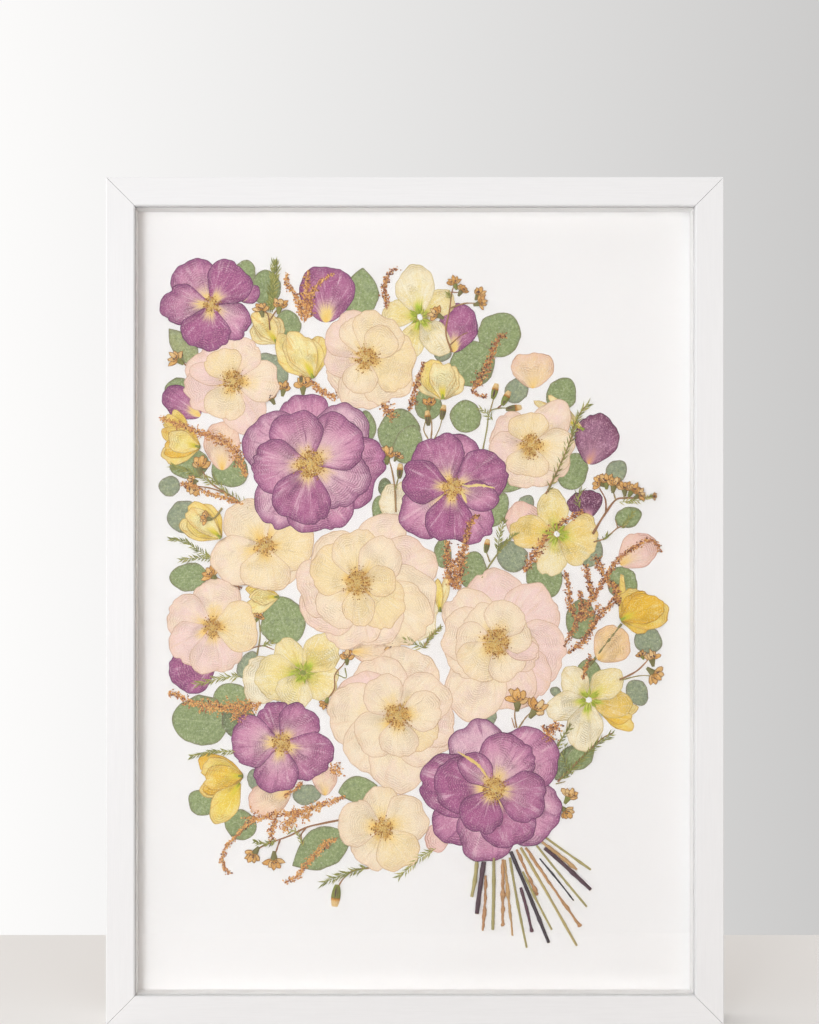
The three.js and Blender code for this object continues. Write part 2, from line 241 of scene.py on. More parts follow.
def finish_node(name, material, bevel=None):
    """Gives a measured piece its finish, and rounds its edges."""
    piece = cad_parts[name]
    piece.data.materials.clear()
    piece.data.materials.append(material)
    if bevel:
        rounding = piece.modifiers.new("rounded_edges", "BEVEL")
        rounding.width = bevel
        rounding.segments = 2
        rounding.limit_method = "ANGLE"
        rounding.angle_limit = math.radians(40)


paint_across = white_paint("satin_paint_on_wood_across", 0)
paint_upright = white_paint("satin_paint_on_wood_upright", 2)
for rail, paint in {
    "rail_top": paint_across,
    "rail_bottom": paint_across,
    "rail_left": paint_upright,
    "rail_right": paint_upright,
}.items():
    finish_node(rail, paint, 0.35 * MM)

# %% [markdown]
# The strips behind the lip are white foam board, cut with a knife, so they are matt and slightly
# open on the cut. The card is uncoated cotton card with a fine tooth. The back is bare hardboard
# with its pressed fibres, held by zinc-plated points.
# %% Card, foam strips, hardboard, steel and felt
CARD_TOOTH = 0.5 * MM
FIBRE = 0.8 * MM
FOAM_CELL = 0.35 * MM
BRUSH_LINE = 0.25 * MM
FELT_TUFT = 0.5 * MM


def toothed(name, grain, codes, roughness, depth, stretch=(1, 1, 1)):
    """A dull surface whose colour and relief follow one fine noise."""
    material, shader = new_material(name, Roughness=roughness, IOR=1.45)
    spot = add_node(material, "ShaderNodeTexCoord")
    at = add_node(
        material,
        "ShaderNodeVectorMath",
        {0: spot.outputs["Object"], 1: [s / grain for s in stretch]},
        operation="MULTIPLY",
    )
    noise = add_node(
        material,
        "ShaderNodeTexNoise",
        {"Vector": at.outputs[0], "Scale": 1.0, "Detail": 4.0, "Roughness": 0.6},
    )
    tone = add_node(
        material,
        "ShaderNodeValToRGB",
        {0: noise.outputs["Fac"]},
        stops=[(0.3, codes[0]), (0.7, codes[1])],
    )
    bump = add_node(
        material,
        "ShaderNodeBump",
        {"Height": noise.outputs["Fac"], "Strength": 0.3, "Distance": depth},
    )
    link(material, tone.outputs["Color"], shader.inputs["Base Color"])
    link(material, bump.outputs["Normal"], shader.inputs["Normal"])
    return material, shader


card_finish, _ = toothed("cotton_mount_card", CARD_TOOTH, ("#FAFAFA", "#FDFDFD"), 0.9, 0.03 * MM)
foam_finish, _ = toothed("foam_board_strip", FOAM_CELL, ("#F1F0EE", "#F8F8F7"), 0.85, 0.06 * MM)
board_finish, _ = toothed("bare_hardboard", FIBRE, ("#8C6A47", "#B39068"), 0.8, 0.15 * MM, (1, 1, 0.35))
felt_finish, felt_shader = toothed("wool_felt", FELT_TUFT, ("#C9C5BC", "#E2DFD8"), 0.95, 0.3 * MM)
felt_shader.inputs["Sheen Weight"].default_value = 0.4
steel_finish, steel_shader = toothed(
    "zinc_plated_steel", BRUSH_LINE, ("#A7A9AC", "#C6C8CA"), 0.38, 0.02 * MM, (0.1, 1, 1))
steel_shader.inputs["Metallic"].default_value = 1.0

finish_node("mount_card", card_finish)
finish_node("backing_board", board_finish)
for side in ("top", "bottom", "left", "right"):
    finish_node(f"spacer_{side}", foam_finish)
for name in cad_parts:
    if name.startswith("point_"):
        finish_node(name, steel_finish, 0.12 * MM)
    if name.startswith("hanger_"):
        finish_node(name, steel_finish, 0.1 * MM)
    if name.startswith("bumper_"):
        finish_node(name, felt_finish, 0.35 * MM)

# %% [markdown]
# The pane is 2 mm float glass: clear, with a faint reflection of the room. Light that only passes
# through on its way to the card would cost a renderer many bounces, so shadow rays skip the glass.
# %% Float glass
glass, glass_shader = new_material("float_glass", Roughness=0.0, IOR=1.5)
glass_shader.inputs["Transmission Weight"].default_value = 1.0
passing = add_node(glass, "ShaderNodeLightPath")
open_air = add_node(glass, "ShaderNodeBsdfTransparent", {"Color": linear("#FFFFFF")})
pane_mix = add_node(
    glass,
    "ShaderNodeMixShader",
    {0: passing.outputs["Is Shadow Ray"], 1: glass_shader.outputs["BSDF"], 2: open_air.outputs["BSDF"]},
)
link(glass, pane_mix.outputs["Shader"], glass.node_tree.nodes["Material Output"].inputs["Surface"])
finish_node("glazing", glass)
print("frame finishes:", len(bpy.data.materials))

# %% [markdown]
# ## How a dried layer lies
# Every petal is a sheet a tenth of a millimetre thick, let down on whatever is already there. A map
# of the card keeps the height and the number of layers in half-millimetre cells. A new sheet takes
# its height from the map, eased so that it bends over an edge and doesn't step, and is then
# written into the map for the next one. A press keeps a sheet flat where others lie on it, so it may
# curl only where it is on top. That is known once everything has its place, so each step waits in a
# list and the press closes at the end.
# %% The height map of the card
STEP = 0.742  # mm in one step of the layout sheet
SHEET_LEFT, SHEET_TOP = -307.3, 755.8
CELL = 0.5
REACH = 3  # cells on each side that hold a sheet up
card_low, card_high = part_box("mount_card")
CARD_Y = card_low.y
MAP_LEFT, MAP_FOOT = card_low.x / MM, card_low.z / MM
COLS = int((card_high.x - card_low.x) / MM / CELL)
ROWS = int((card_high.z - card_low.z) / MM / CELL)
heights = np.zeros((ROWS, COLS))
layers = np.zeros((ROWS, COLS))
all_layers = np.zeros((ROWS, COLS))
waiting = []


def waits(step):
    """Makes a step wait for the press."""
    def noted(*given, **named):
        waiting.append(lambda: step(*given, **named))
    return noted


def on_card(across, down):
    """A place on the layout sheet as x and z in mm."""
    return np.array([SHEET_LEFT + STEP * across, SHEET_TOP - STEP * down])


def cells(spots):
    row = ((spots[..., 1] - MAP_FOOT) / CELL).astype(int)
    col = ((spots[..., 0] - MAP_LEFT) / CELL).astype(int)
    return np.clip(row, REACH, ROWS - REACH - 1), np.clip(col, REACH, COLS - REACH - 1)


def held_up(spots, reach=REACH):
    """The highest thing that lies within reach of each spot."""
    row, col = cells(spots)
    offsets = [(a, b) for a in (-reach, 0, reach) for b in (-reach, 0, reach)]
    return np.max([heights[row + a, col + b] for a, b in offsets], axis=0)


def finer(grid, times):
    """A grid of numbers with more rows and columns in between."""
    for axis in (0, 1):
        count = grid.shape[axis]
        at = np.linspace(0, count - 1, (count - 1) * times + 1)
        low = np.minimum(at.astype(int), count - 2)
        share = (at - low).reshape((-1, 1) if axis == 0 else (1, -1))
        grid = np.take(grid, low, axis) * (1 - share) + np.take(grid, low + 1, axis) * share
    return grid


def covered(spots, times=4):
    """Every cell under a sheet: the rows and columns, and the cells counted once each."""
    fine = np.stack([finer(spots[..., 0], times), finer(spots[..., 1], times)], axis=-1)
    row, col = cells(fine)
    return (row, col), np.unique(row * COLS + col)


def eased(grid, rounds):
    for _ in range(rounds):
        wide = np.pad(grid, 1, mode="edge")
        around = wide[:-2, 1:-1] + wide[2:, 1:-1] + wide[1:-1, :-2] + wide[1:-1, 2:]
        grid = (around + 2 * wide[1:-1, 1:-1]) / 6
    return grid


print("height map:", ROWS, "by", COLS, "cells")

# %% [markdown]
# A pressed piece is gathered from grids, tubes and small beads, and becomes one mesh at the end.
# Each point carries two sets of numbers for the shader: its place on the petal, as distance from the
# base, turn across the fan and millimetres from the rim, and its tint, as tone and chance. A vector
# has room for a third number, which stays 0 in the tint.
# %% Gather the parts of a pressed piece
EDGE_DROP = 1.3  # a sheet's edge is turned down by this many thicknesses

def grid_faces(rows, cols):
    corner = np.arange(rows * cols).reshape(rows, cols)
    return np.stack([corner[:-1, :-1], corner[1:, :-1], corner[1:, 1:], corner[:-1, 1:]], -1).reshape(-1, 4)


class Pressed:
    """One pressed piece while it is being made. Points are x, z and height above the card, in mm."""

    def __init__(self, name):
        self.name, self.count = name, 0
        self.points, self.faces, self.places, self.tints, self.finishes = [], [], [], [], []

    def add(self, points, faces, place, tint, finish=0):
        points = points.reshape(-1, 3)
        self.points.append(points)
        self.places.append(np.broadcast_to(place, (len(points), 3)))
        self.tints.append(np.broadcast_to(tint, (len(points), 3)))
        self.faces += (faces + self.count).tolist()
        self.finishes += [finish] * len(faces)
        self.count += len(points)

    def add_sheet(self, spots, thickness, curl, place, tone, chance, finish=0):
        """Notes where a sheet will lie. It is let down when its turn comes."""
        all_layers.flat[covered(spots)[1]] += 1
        waiting.append(lambda: self.let_down(spots, thickness, curl, place, tone, chance, finish))

    def let_down(self, spots, thickness, curl, place, tone, chance, finish):
        support = held_up(spots)
        support = np.maximum(support, eased(support, 4))
        beneath = layers[cells(spots)]
        above = all_layers[cells(spots)] - beneath - 1
        face = support + thickness + curl * eased(0.4 ** np.clip(above, 0, 4), 2)
        fine, once = covered(spots)
        np.maximum.at(heights, fine, finer(face, 4))
        layers.flat[once] += 1
        rim = ((1, 1), (1, 1), (0, 0))
        spots, place = np.pad(spots, rim, mode="edge"), np.pad(place, rim, mode="edge")
        edge = np.pad(face, 1, mode="edge")
        edge[[0, -1]] = edge[[0, -1]] - thickness * EDGE_DROP
        edge[1:-1, [0, -1]] = edge[1:-1, [0, -1]] - thickness * EDGE_DROP
        points = np.dstack([spots, np.maximum(edge, 0.01)])
        self.add(points, grid_faces(*edge.shape), place.reshape(-1, 3), (tone, chance, 0), finish)

    @waits
    def build(self, finishes, slot, *nodes):
        """Makes the mesh, and lets it stand for the measured nodes that it dresses."""
        points = np.vstack(self.points)
        places = np.column_stack([points[:, 0] * MM, CARD_Y - points[:, 2] * MM, points[:, 1] * MM])
        mesh = bpy.data.meshes.new(self.name)
        mesh.from_pydata(places.tolist(), [], self.faces)
        for name, values in (("place", self.places), ("tint", self.tints)):
            attribute = mesh.attributes.new(name, "FLOAT_VECTOR", "POINT")
            attribute.data.foreach_set("vector", np.vstack(values).astype(np.float32).ravel())
        for finish in finishes:
            mesh.materials.append(finish)
        mesh.polygons.foreach_set("material_index", self.finishes)
        mesh.polygons.foreach_set("use_smooth", [True] * len(self.faces))
        mesh.set_sharp_from_angle(angle=math.radians(50))
        mesh.update()
        piece = bpy.data.objects.new(self.name, mesh)
        bpy.context.scene.collection.objects.link(piece)
        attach(piece, "root")
        if nodes:
            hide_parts(*nodes)


# %% [markdown]
# A petal's veins fan out from its base, so its grid is a fan too: rows are steps out from the base
# and columns are turns across. The outline is an ellipse seen from its end, narrowed to a claw at
# the base, with a shallow notch at the tip and small waves. Rows crowd towards the rim, where a
# dried petal curls and browns.
# %% A petal as a fan
PETAL_THICK = 0.12
FAN = math.radians(84)
PETAL_SPACING = 2.2

# notch and shoulders of the tip, waves, scallops and nicks of the rim, width of the claw, curl, folds
ROSE = dict(notch=0.07, shoulder=0.07, waves=0.026, scallops=0.022, nicks=5, claw=0.42, ruffle=0.2, folds=7)
BLOOM = dict(notch=0.0, shoulder=0.05, waves=0.045, scallops=0.03, nicks=3, claw=0.45, ruffle=0.3, folds=8)
FOLDED = dict(notch=0.08, shoulder=0.0, waves=0.07, scallops=0.05, nicks=6, claw=0.5, ruffle=0.7, folds=13)
LOOSE = dict(notch=0.03, shoulder=0.04, waves=0.035, scallops=0.02, nicks=4, claw=0.72, ruffle=0.25, folds=6)
RIM_WAVES = [(2, 1.0), (3.7, 0.9), (7, 0.5), (13, 0.35), (29, 0.2)]  # how many round the fan, how high


def smooth_step(low, high, value):
    t = np.clip((value - low) / (high - low), 0, 1)
    return t * t * (3 - 2 * t)


def waves(turn, rng, sizes):
    """A sum of waves round a fan, each with a start of its own."""
    total = np.zeros_like(turn)
    for count, size in sizes:
        total += size * np.sin(count * turn + rng.uniform(0, 2 * math.pi))
    return total


def add_petal(piece, at, angle, length, width, rng, form, tone=0.0, finish=0):
    long, half = STEP * length, STEP * width / 2
    across = int(np.clip(2.6 * (long + half) / PETAL_SPACING, 12, 84))
    out = int(np.clip(long / PETAL_SPACING, 6, 24))
    turn = np.linspace(-FAN, FAN, across + 1)
    share = np.linspace(0, 1, out + 1)
    share = 0.6 * np.sin(share * math.pi / 2) + 0.4 * share
    below = half ** 2 * np.cos(turn) ** 2 + (long / 2) ** 2 * np.sin(turn) ** 2
    ellipse = long * half ** 2 * np.cos(turn) / below
    edge = ellipse * (
        1
        + waves(turn, rng, [(count, form["waves"] * height) for count, height in RIM_WAVES])
        + form["scallops"] * (np.abs(np.sin(turn * rng.uniform(1.6, 3.4) + rng.uniform(0, 6))) - 0.6)
        + form["shoulder"] * np.exp(-((np.abs(turn) - 0.6) / 0.3) ** 2)
        - form["notch"] * rng.uniform(0, 1.2) * np.exp(-((turn - rng.uniform(-0.15, 0.15)) / 0.16) ** 2)
    )
    for _ in range(form["nicks"]):
        depth, where, wide = rng.uniform(0, 0.05), rng.uniform(-1.2, 1.2), rng.uniform(0.03, 0.08)
        edge *= 1 - depth * np.exp(-((turn - where) / wide) ** 2)
    slope = np.gradient(edge, turn)
    square = edge / np.sqrt(edge ** 2 + slope ** 2 + 1e-9)
    forward = share[:, None] * (edge * np.cos(turn))[None]
    aside = share[:, None] * (edge * np.sin(turn))[None]
    aside *= form["claw"] + (1 - form["claw"]) * smooth_step(0, 0.5 * long, forward)
    aside += rng.uniform(-0.06, 0.06) * forward ** 2 / long
    heading = math.radians(angle)
    x = forward * math.cos(heading) - aside * math.sin(heading)
    z = forward * math.sin(heading) + aside * math.cos(heading)
    spots = np.dstack([x, z]) + on_card(*at)
    pleats = turn * form["folds"] * rng.uniform(0.8, 1.3) + rng.uniform(0, 6)
    pleat = 0.5 + 0.5 * np.sin(pleats + 1.2 * share[:, None])
    pleat *= 0.6 + 0.4 * np.cos(turn * 2.3 + rng.uniform(0, 6))
    sag = np.exp(-((share[:, None] - rng.uniform(0.5, 0.8)) / 0.16) ** 2)
    sag = sag * np.cos(turn * 1.5 + rng.uniform(-1, 1))
    curl = form["ruffle"] * (0.7 * pleat * share[:, None] ** 1.5 + 0.3 * sag + 0.3 * share[:, None] ** 8)
    curl *= min(1, long / 22)
    rim = (1 - share[:, None]) * (edge * square)[None]
    from_base, round_fan = np.broadcast_arrays(share[:, None], (turn / FAN)[None])
    place = np.dstack([from_base, round_fan, rim])
    piece.add_sheet(spots, PETAL_THICK, np.maximum(curl, 0), place, tone, rng.uniform(), finish)


# %% [markdown]
# A leaf is simpler: rows run from the stalk to the tip and columns from edge to edge. The midrib is a
# low ridge in the mesh itself.
# %% A leaf as a strip
LEAF_THICK = 0.2
MIDRIB = 0.16
ROUND_LEAF, POINTED_LEAF = (0.92, 0.52), (0.88, 0.9)


def add_leaf(piece, at, angle, length, width, rng, tone, form=ROUND_LEAF, finish=0):
    """at is the leaf's middle."""
    long, half = STEP * length, STEP * width / 2
    rows = int(np.clip(long / 1.6, 10, 34))
    columns = int(np.clip(2 * half / 1.8, 8, 24))
    share = 0.5 - 0.5 * np.cos(np.linspace(0, math.pi, rows + 1))
    side = np.sin(np.linspace(-math.pi / 2, math.pi / 2, columns + 1))
    bulge, blunt = form
    reach = half * np.sin(math.pi * np.clip(share, 0, 1) ** bulge) ** blunt
    reach *= 1 + waves(share * 6, rng, [(1.3, 0.02), (2.9, 0.015), (7, 0.008)])
    forward = np.repeat(((share - 0.5) * long)[:, None], columns + 1, 1)
    lopsided = np.outer(waves(share * 6, rng, [(1.1, 0.04), (3.3, 0.02)]), side)
    aside = reach[:, None] * side[None] * (1 + lopsided)
    aside += rng.uniform(-0.05, 0.05) * (forward ** 2 - long ** 2 / 12) / long * 2
    heading = math.radians(angle)
    x = forward * math.cos(heading) - aside * math.sin(heading)
    z = forward * math.sin(heading) + aside * math.cos(heading)
    spots = np.dstack([x, z]) + on_card(*at)
    ridge = MIDRIB * np.exp(-((aside - aside[:, columns // 2][:, None]) / 0.7) ** 2)
    wave = 0.22 * (1 + np.sin(share * rng.uniform(5, 9) + rng.uniform(0, 6)))[:, None] * side[None] ** 2
    from_edge = (1 - np.abs(side))[None] * reach[:, None]
    from_end = (np.minimum(share, 1 - share) * long)[:, None]
    along, across = np.broadcast_arrays(share[:, None], side[None])
    place = np.dstack([along, across, np.minimum(from_edge, from_end)])
    piece.add_sheet(spots, LEAF_THICK, ridge + wave, place, tone, rng.uniform(), finish)


# %% [markdown]
# Stalks, twigs and filaments are tubes that were flattened in the press. Florets and anthers are
# beads: one small twenty-sided ball, turned, flattened and copied as mesh.
# %% Tubes, beads and needles
GOLDEN = (1 + 5 ** 0.5) / 2
BALL = np.array([(a, b, c) for a in (0,) for b in (-1, 1) for c in (-GOLDEN, GOLDEN)]
                + [(b, c, 0) for b in (-1, 1) for c in (-GOLDEN, GOLDEN)]
                + [(c, 0, b) for b in (-1, 1) for c in (-GOLDEN, GOLDEN)], float)
BALL /= np.linalg.norm(BALL[0])
_side = np.linalg.norm(BALL[:, None] - BALL[None], axis=2)
_near = _side < 1.2
BALL_FACES = np.array([
    (i, j, k) if np.dot(np.cross(BALL[j] - BALL[i], BALL[k] - BALL[i]), BALL[i]) > 0 else (i, k, j)
    for i in range(12) for j in range(i + 1, 12) for k in range(j + 1, 12)
    if _near[i, j] and _near[j, k] and _near[i, k]
])


def smooth_route(points, spacing=1.0):
    """A smooth line through given places, with a point about every spacing mm."""
    p = np.array([on_card(*q) for q in points])
    p = np.vstack([2 * p[0] - p[1], p, 2 * p[-1] - p[-2]])
    line = []
    for a, b, c, d in zip(p, p[1:], p[2:], p[3:]):
        t = np.linspace(0, 1, max(2, int(np.linalg.norm(c - b) / spacing)), endpoint=False)[:, None]
        bend, twist = 2 * a - 5 * b + 4 * c - d, 3 * b - a - 3 * c + d
        line.append(0.5 * (2 * b + (c - a) * t + bend * t ** 2 + twist * t ** 3))
    return np.vstack(line + [p[-2:-1]])


def settle(line, radius, rise=1.2):
    """Heights under a stalk that lies on whatever is there. It is written into the map."""
    rest = held_up(line, 1)
    for _ in range(3):
        rest = np.maximum(rest, np.convolve(np.pad(rest, 2, mode="edge"), np.ones(5) / 5, "valid"))
    along = np.gradient(line, axis=0)
    along /= np.linalg.norm(along, axis=1)[:, None] + 1e-9
    aside = np.column_stack([-along[:, 1], along[:, 0]]) * np.reshape(radius, (-1, 1))
    tops = rest + np.broadcast_to(radius, rest.shape) * rise
    fine, _ = covered(np.stack([line - aside, line, line + aside], axis=1), 2)
    np.maximum.at(heights, fine, finer(np.repeat(tops[:, None], 3, 1), 2))
    return rest


def add_tube(piece, path, radius, tone, rng, sides=6, flat=0.7, finish=0):
    """A tapered tube. path is x, z and the height of the middle; radius is one number for each."""
    radius = np.broadcast_to(radius, len(path)).reshape(-1, 1, 1)
    along = np.gradient(path, axis=0)
    along /= np.linalg.norm(along, axis=1)[:, None] + 1e-9
    side = np.cross(along, (0, 0, 1.0))
    side /= np.linalg.norm(side, axis=1)[:, None] + 1e-9
    lift = np.cross(side, along)
    turn = np.arange(sides) * 2 * math.pi / sides
    ring = side[:, None] * np.cos(turn)[None, :, None] + lift[:, None] * np.sin(turn)[None, :, None] * flat
    points = path[:, None] + ring * radius
    corner = np.arange(len(path) * sides).reshape(len(path), sides)
    turned = np.roll(corner, -1, axis=1)
    faces = np.stack([corner[:-1], turned[:-1], turned[1:], corner[1:]], -1).reshape(-1, 4)
    place = np.zeros((len(path), sides, 3))
    place[..., 0] = np.linspace(0, 1, len(path))[:, None]
    place[..., 1] = np.cos(turn)[None]
    place[..., 2] = 5
    piece.add(points, faces, place.reshape(-1, 3), (tone, rng.uniform(), 0), finish)
    piece.faces += [(corner[0][::-1] + piece.count - points.shape[0] * sides).tolist(),
                    (corner[-1] + piece.count - points.shape[0] * sides).tolist()]
    piece.finishes += [finish, finish]


def add_beads(piece, middles, radii, tones, rng, flat=0.7, finish=0):
    """Many small balls at once, each stretched and turned by chance."""
    middles, radii = np.asarray(middles, float), np.asarray(radii, float)
    spin = rng.uniform(0, 2 * math.pi, len(middles))
    stretch = rng.uniform(0.75, 1.35, len(middles))
    c, s = np.cos(spin)[:, None], np.sin(spin)[:, None]
    x, y = BALL[None, :, 0] * stretch[:, None], BALL[None, :, 1] / stretch[:, None]
    ball = np.stack([x * c - y * s, x * s + y * c, np.broadcast_to(BALL[None, :, 2], x.shape) * flat], -1)
    points = middles[:, None] + ball * radii[:, None, None]
    faces = (BALL_FACES[None] + 12 * np.arange(len(middles))[:, None, None]).reshape(-1, 3)
    count = len(middles)
    tint = np.stack([np.broadcast_to(tones, count), rng.uniform(0, 1, count), np.zeros(count)], -1)
    piece.add(points, faces, (0.5, 0, 5), np.repeat(tint, 12, 0), finish)


# the faces between a needle's six points, from foot to waist to tip, and their places on the needle
SPINDLE = np.array([(0, 2, 1), (0, 3, 2), (0, 4, 3), (0, 1, 4), (5, 1, 2), (5, 2, 3), (5, 3, 4), (5, 4, 1)])
SPINDLE_PLACE = np.array([(0, 0, 5), (0.4, -1, 5), (0.4, 0, 5), (0.4, 1, 5), (0.4, 0, 5), (1, 0, 5)])

def add_needles(piece, starts, ends, widths, tone, rng, finish=0):
    """Narrow leaves, each a flat spindle of eight faces. starts and ends are x, z and height."""
    along = ends - starts
    side = np.cross(along, (0, 0, 1.0))
    side /= np.linalg.norm(side, axis=1)[:, None] + 1e-9
    middle = starts + along * 0.4
    lift = np.array([0, 0, 0.5])
    wide = side * widths[:, None] / 2
    points = np.stack([starts, middle - wide, middle + lift * widths[:, None], middle + wide,
                       middle - lift * widths[:, None], ends], 1)
    count = len(starts)
    faces = (SPINDLE[None] + 6 * np.arange(count)[:, None, None]).reshape(-1, 3)
    tint = np.stack([np.full(count, tone), rng.uniform(0, 1, count), np.zeros(count)], -1)
    piece.add(points, faces, np.tile(SPINDLE_PLACE, (count, 1)), np.repeat(tint, 6, 0), finish)


print("ball:", len(BALL), "points,", len(BALL_FACES), "faces")

# %% [markdown]
# ## Finishes of the dried pieces
# A dried rose petal is a thin, dull skin. The eye reads it by four things: a colour that runs from
# the base outwards, fine ribs that fan out from the base, a browned rim about a millimetre wide, and
# fine wrinkles that follow the rim. The dark line along the rim is partly that browning and partly
# painted shadow of the raised edge, and the wrinkles and folds are darkened as painted shade in their
# creases. All four come from the numbers that the mesh carries, so nothing is painted by hand.
# %% Petal finish
RIM_LINE = 1.0  # mm of browned rim, which also carries the painted shadow of the raised edge
RIM_FADE = 7.0  # mm over which the colour deepens towards it
BLOTCH = 7.0 * MM  # size of the uneven patches
PAPER_GRAIN = 0.9 * MM  # drawn coarser than the real 0.1 mm cells, so that it shows
WRINKLE = 1.7  # mm between the fine wrinkles that run along a rim
FAN_RIBS = 15.0
FOLD_LINES = 1.6  # sharp folds from the base on half a petal


def carried(material, name):
    """The three numbers of one attribute, each as a socket."""
    numbers = add_node(material, "ShaderNodeAttribute", attribute_name=name)
    return add_node(material, "ShaderNodeSeparateXYZ", {0: numbers.outputs["Vector"]}).outputs


class Mixing:
    """The sums that a finish needs, each of them one node."""

    def __init__(self, material):
        self.material = material
        self.spot = add_node(material, "ShaderNodeTexCoord").outputs["Object"]

    def maths(self, operation, first, second=0.0, third=0.0):
        inputs = {0: first, 1: second, 2: third}
        return add_node(self.material, "ShaderNodeMath", inputs, operation=operation).outputs[0]

    def scaled(self, value, low, high, start, end):
        inputs = {0: value, 1: low, 2: high, 3: start, 4: end}
        smooth = dict(interpolation_type="SMOOTHSTEP")
        return add_node(self.material, "ShaderNodeMapRange", inputs, **smooth).outputs[0]

    def mixed(self, share, first, code):
        inputs = {"Factor": share, 6: first, 7: linear(code)}
        return add_node(self.material, "ShaderNodeMix", inputs, data_type="RGBA").outputs[2]

    def noise(self, size, detail, rough=0.55, at=None):
        inputs = {"Vector": at or self.spot, "Scale": 1 / size, "Detail": detail, "Roughness": rough}
        return add_node(self.material, "ShaderNodeTexNoise", inputs).outputs["Fac"]

    def off(self, noise, size, value):
        """A value pushed up and down by a noise."""
        return self.maths("MULTIPLY_ADD", self.maths("SUBTRACT", noise, 0.5), size, value)

    def times(self, *values):
        product = values[0]
        for value in values[1:]:
            product = self.maths("MULTIPLY", product, value)
        return product


def petal_finish(
    name, along, deep, pale, rim, line, fleck,
    ribs=0.5, edge=0.6, outline=1.0, wrinkles=0.4, flecks=0.5, folds=0.5,
):
    """along runs from base to tip. deep and pale are the tones that a petal may lean to."""
    material, shader = new_material(name, Roughness=0.72, IOR=1.4)
    shader.inputs["Sheen Weight"].default_value = 0.04
    place, tint = carried(material, "place"), carried(material, "tint")
    m = Mixing(material)
    chance = m.maths("MULTIPLY", tint[1], 90.0)
    fan_at = {0: m.maths("MULTIPLY", place[1], FAN_RIBS), 1: m.maths("MULTIPLY", place[0], 1.6), 2: chance}
    fan = add_node(material, "ShaderNodeCombineXYZ", fan_at).outputs[0]
    patch = m.noise(BLOTCH, 3.0)
    rib = m.noise(1.0, 5.0, 0.65, fan)
    grain = m.noise(PAPER_GRAIN, 2.0, 0.7)

    from_base = m.off(rib, 0.35, m.off(patch, 0.25, place[0]))
    colour = add_node(material, "ShaderNodeValToRGB", {0: from_base}, stops=along).outputs["Color"]
    outside = m.scaled(m.off(rib, 0.3, place[0]), 0.2, 0.5, 0.0, 1.0)
    toned = m.off(patch, 0.6, tint[0])
    colour = m.mixed(m.times(m.scaled(toned, 0.0, 0.5, 1.0, 0.0), outside), colour, deep)
    colour = m.mixed(m.times(m.scaled(toned, 0.5, 1.0, 0.0, 1.0), outside), colour, pale)
    colour = m.mixed(m.times(m.scaled(rib, 0.53, 0.7, 0.0, ribs), outside), colour, rim)
    colour = m.mixed(m.times(m.scaled(rib, 0.3, 0.47, ribs, 0.0), outside), colour, fleck)
    ragged = m.off(patch, 3.0, m.off(rib, 1.6, place[2]))
    colour = m.mixed(m.times(m.scaled(ragged, 0.0, RIM_FADE, edge, 0.0), outside, place[0]), colour, rim)
    colour = m.mixed(m.times(m.scaled(grain, 0.52, 0.66, 0.0, flecks), outside), colour, fleck)
    colour = m.mixed(m.times(m.scaled(grain, 0.34, 0.48, flecks * 0.7, 0.0), outside), colour, rim)
    # The dark line along the rim: partly browning, partly painted shadow of the petal's raised edge.
    colour = m.mixed(m.times(m.scaled(place[2], 0.0, RIM_LINE, outline, 0.0), outside), colour, line)

    phase = m.off(patch, 15.0, m.maths("MULTIPLY", m.off(rib, 1.8, place[2]), 2 * math.pi / WRINKLE))
    wavy = m.scaled(m.maths("SINE", phase), 0.1, 1.0, 0.0, 1.0)
    wavy = m.times(wavy, m.scaled(m.noise(BLOTCH * 2.2, 1.0), 0.47, 0.6, 0.0, wrinkles), outside)
    turned = m.maths("MULTIPLY_ADD", place[1], FOLD_LINES, m.off(patch, 0.35, chance))
    fold = m.scaled(m.maths("PINGPONG", turned, 0.5), 0.0, 0.022, 1.0, 0.0)
    here_and_there = m.scaled(m.noise(BLOTCH * 1.7, 1.0), 0.45, 0.58, 0.0, 1.0)
    fold = m.times(fold, m.scaled(place[0], 0.5, 0.95, folds, 0.0), here_and_there)
    # Wrinkles and folds darken the colour as painted shade in their creases, and also raise the bump.
    crease_and_painted_shade = m.maths("MAXIMUM", wavy, fold)
    colour = m.mixed(m.maths("MULTIPLY", crease_and_painted_shade, 0.5), colour, line)
    relief = m.times(m.maths("ADD", m.maths("MULTIPLY_ADD", grain, 0.35, crease_and_painted_shade), rib), outside)
    bump = add_node(material, "ShaderNodeBump", {"Height": relief, "Strength": 0.75, "Distance": 0.7 * MM})
    link(material, colour, shader.inputs["Base Color"])
    link(material, bump.outputs["Normal"], shader.inputs["Normal"])
    return material


purple_petal = petal_finish(
    "dried_mauve_petal",
    [(0.0, "#FACE5C"), (0.2, "#FADC88"), (0.33, "#F2D0AE"),
     (0.46, "#E8BCC6"), (0.7, "#E0A0BC"), (1.0, "#C87AA4")],
    "#B05A8E", "#ECC6D2", "#8C4278", "#682A5A", "#F4CEDA",
    ribs=0.7, edge=0.8, wrinkles=0.8, flecks=0.4)
plum_petal = petal_finish(
    "dried_plum_petal",
    [(0.0, "#F2B860"), (0.12, "#D69A8C"), (0.3, "#C08AA0"), (0.7, "#AE7494"), (1.0, "#925074")],
    "#6E3058", "#DCAABE", "#763458", "#48183A", "#E6B8CA", ribs=0.6, edge=0.75, flecks=0.6)
cream_petal = petal_finish(
    "dried_cream_petal",
    [(0.0, "#F4B844"), (0.2, "#FBD070"), (0.34, "#FFE29C"), (0.55, "#FFEDC8"), (1.0, "#FFEDD2")],
    "#FEE7AE", "#FBDAD4", "#F2CCA0", "#C08E6C", "#FFF6E4",
    ribs=0.4, edge=0.35, outline=0.5, wrinkles=0.4, flecks=0.35)
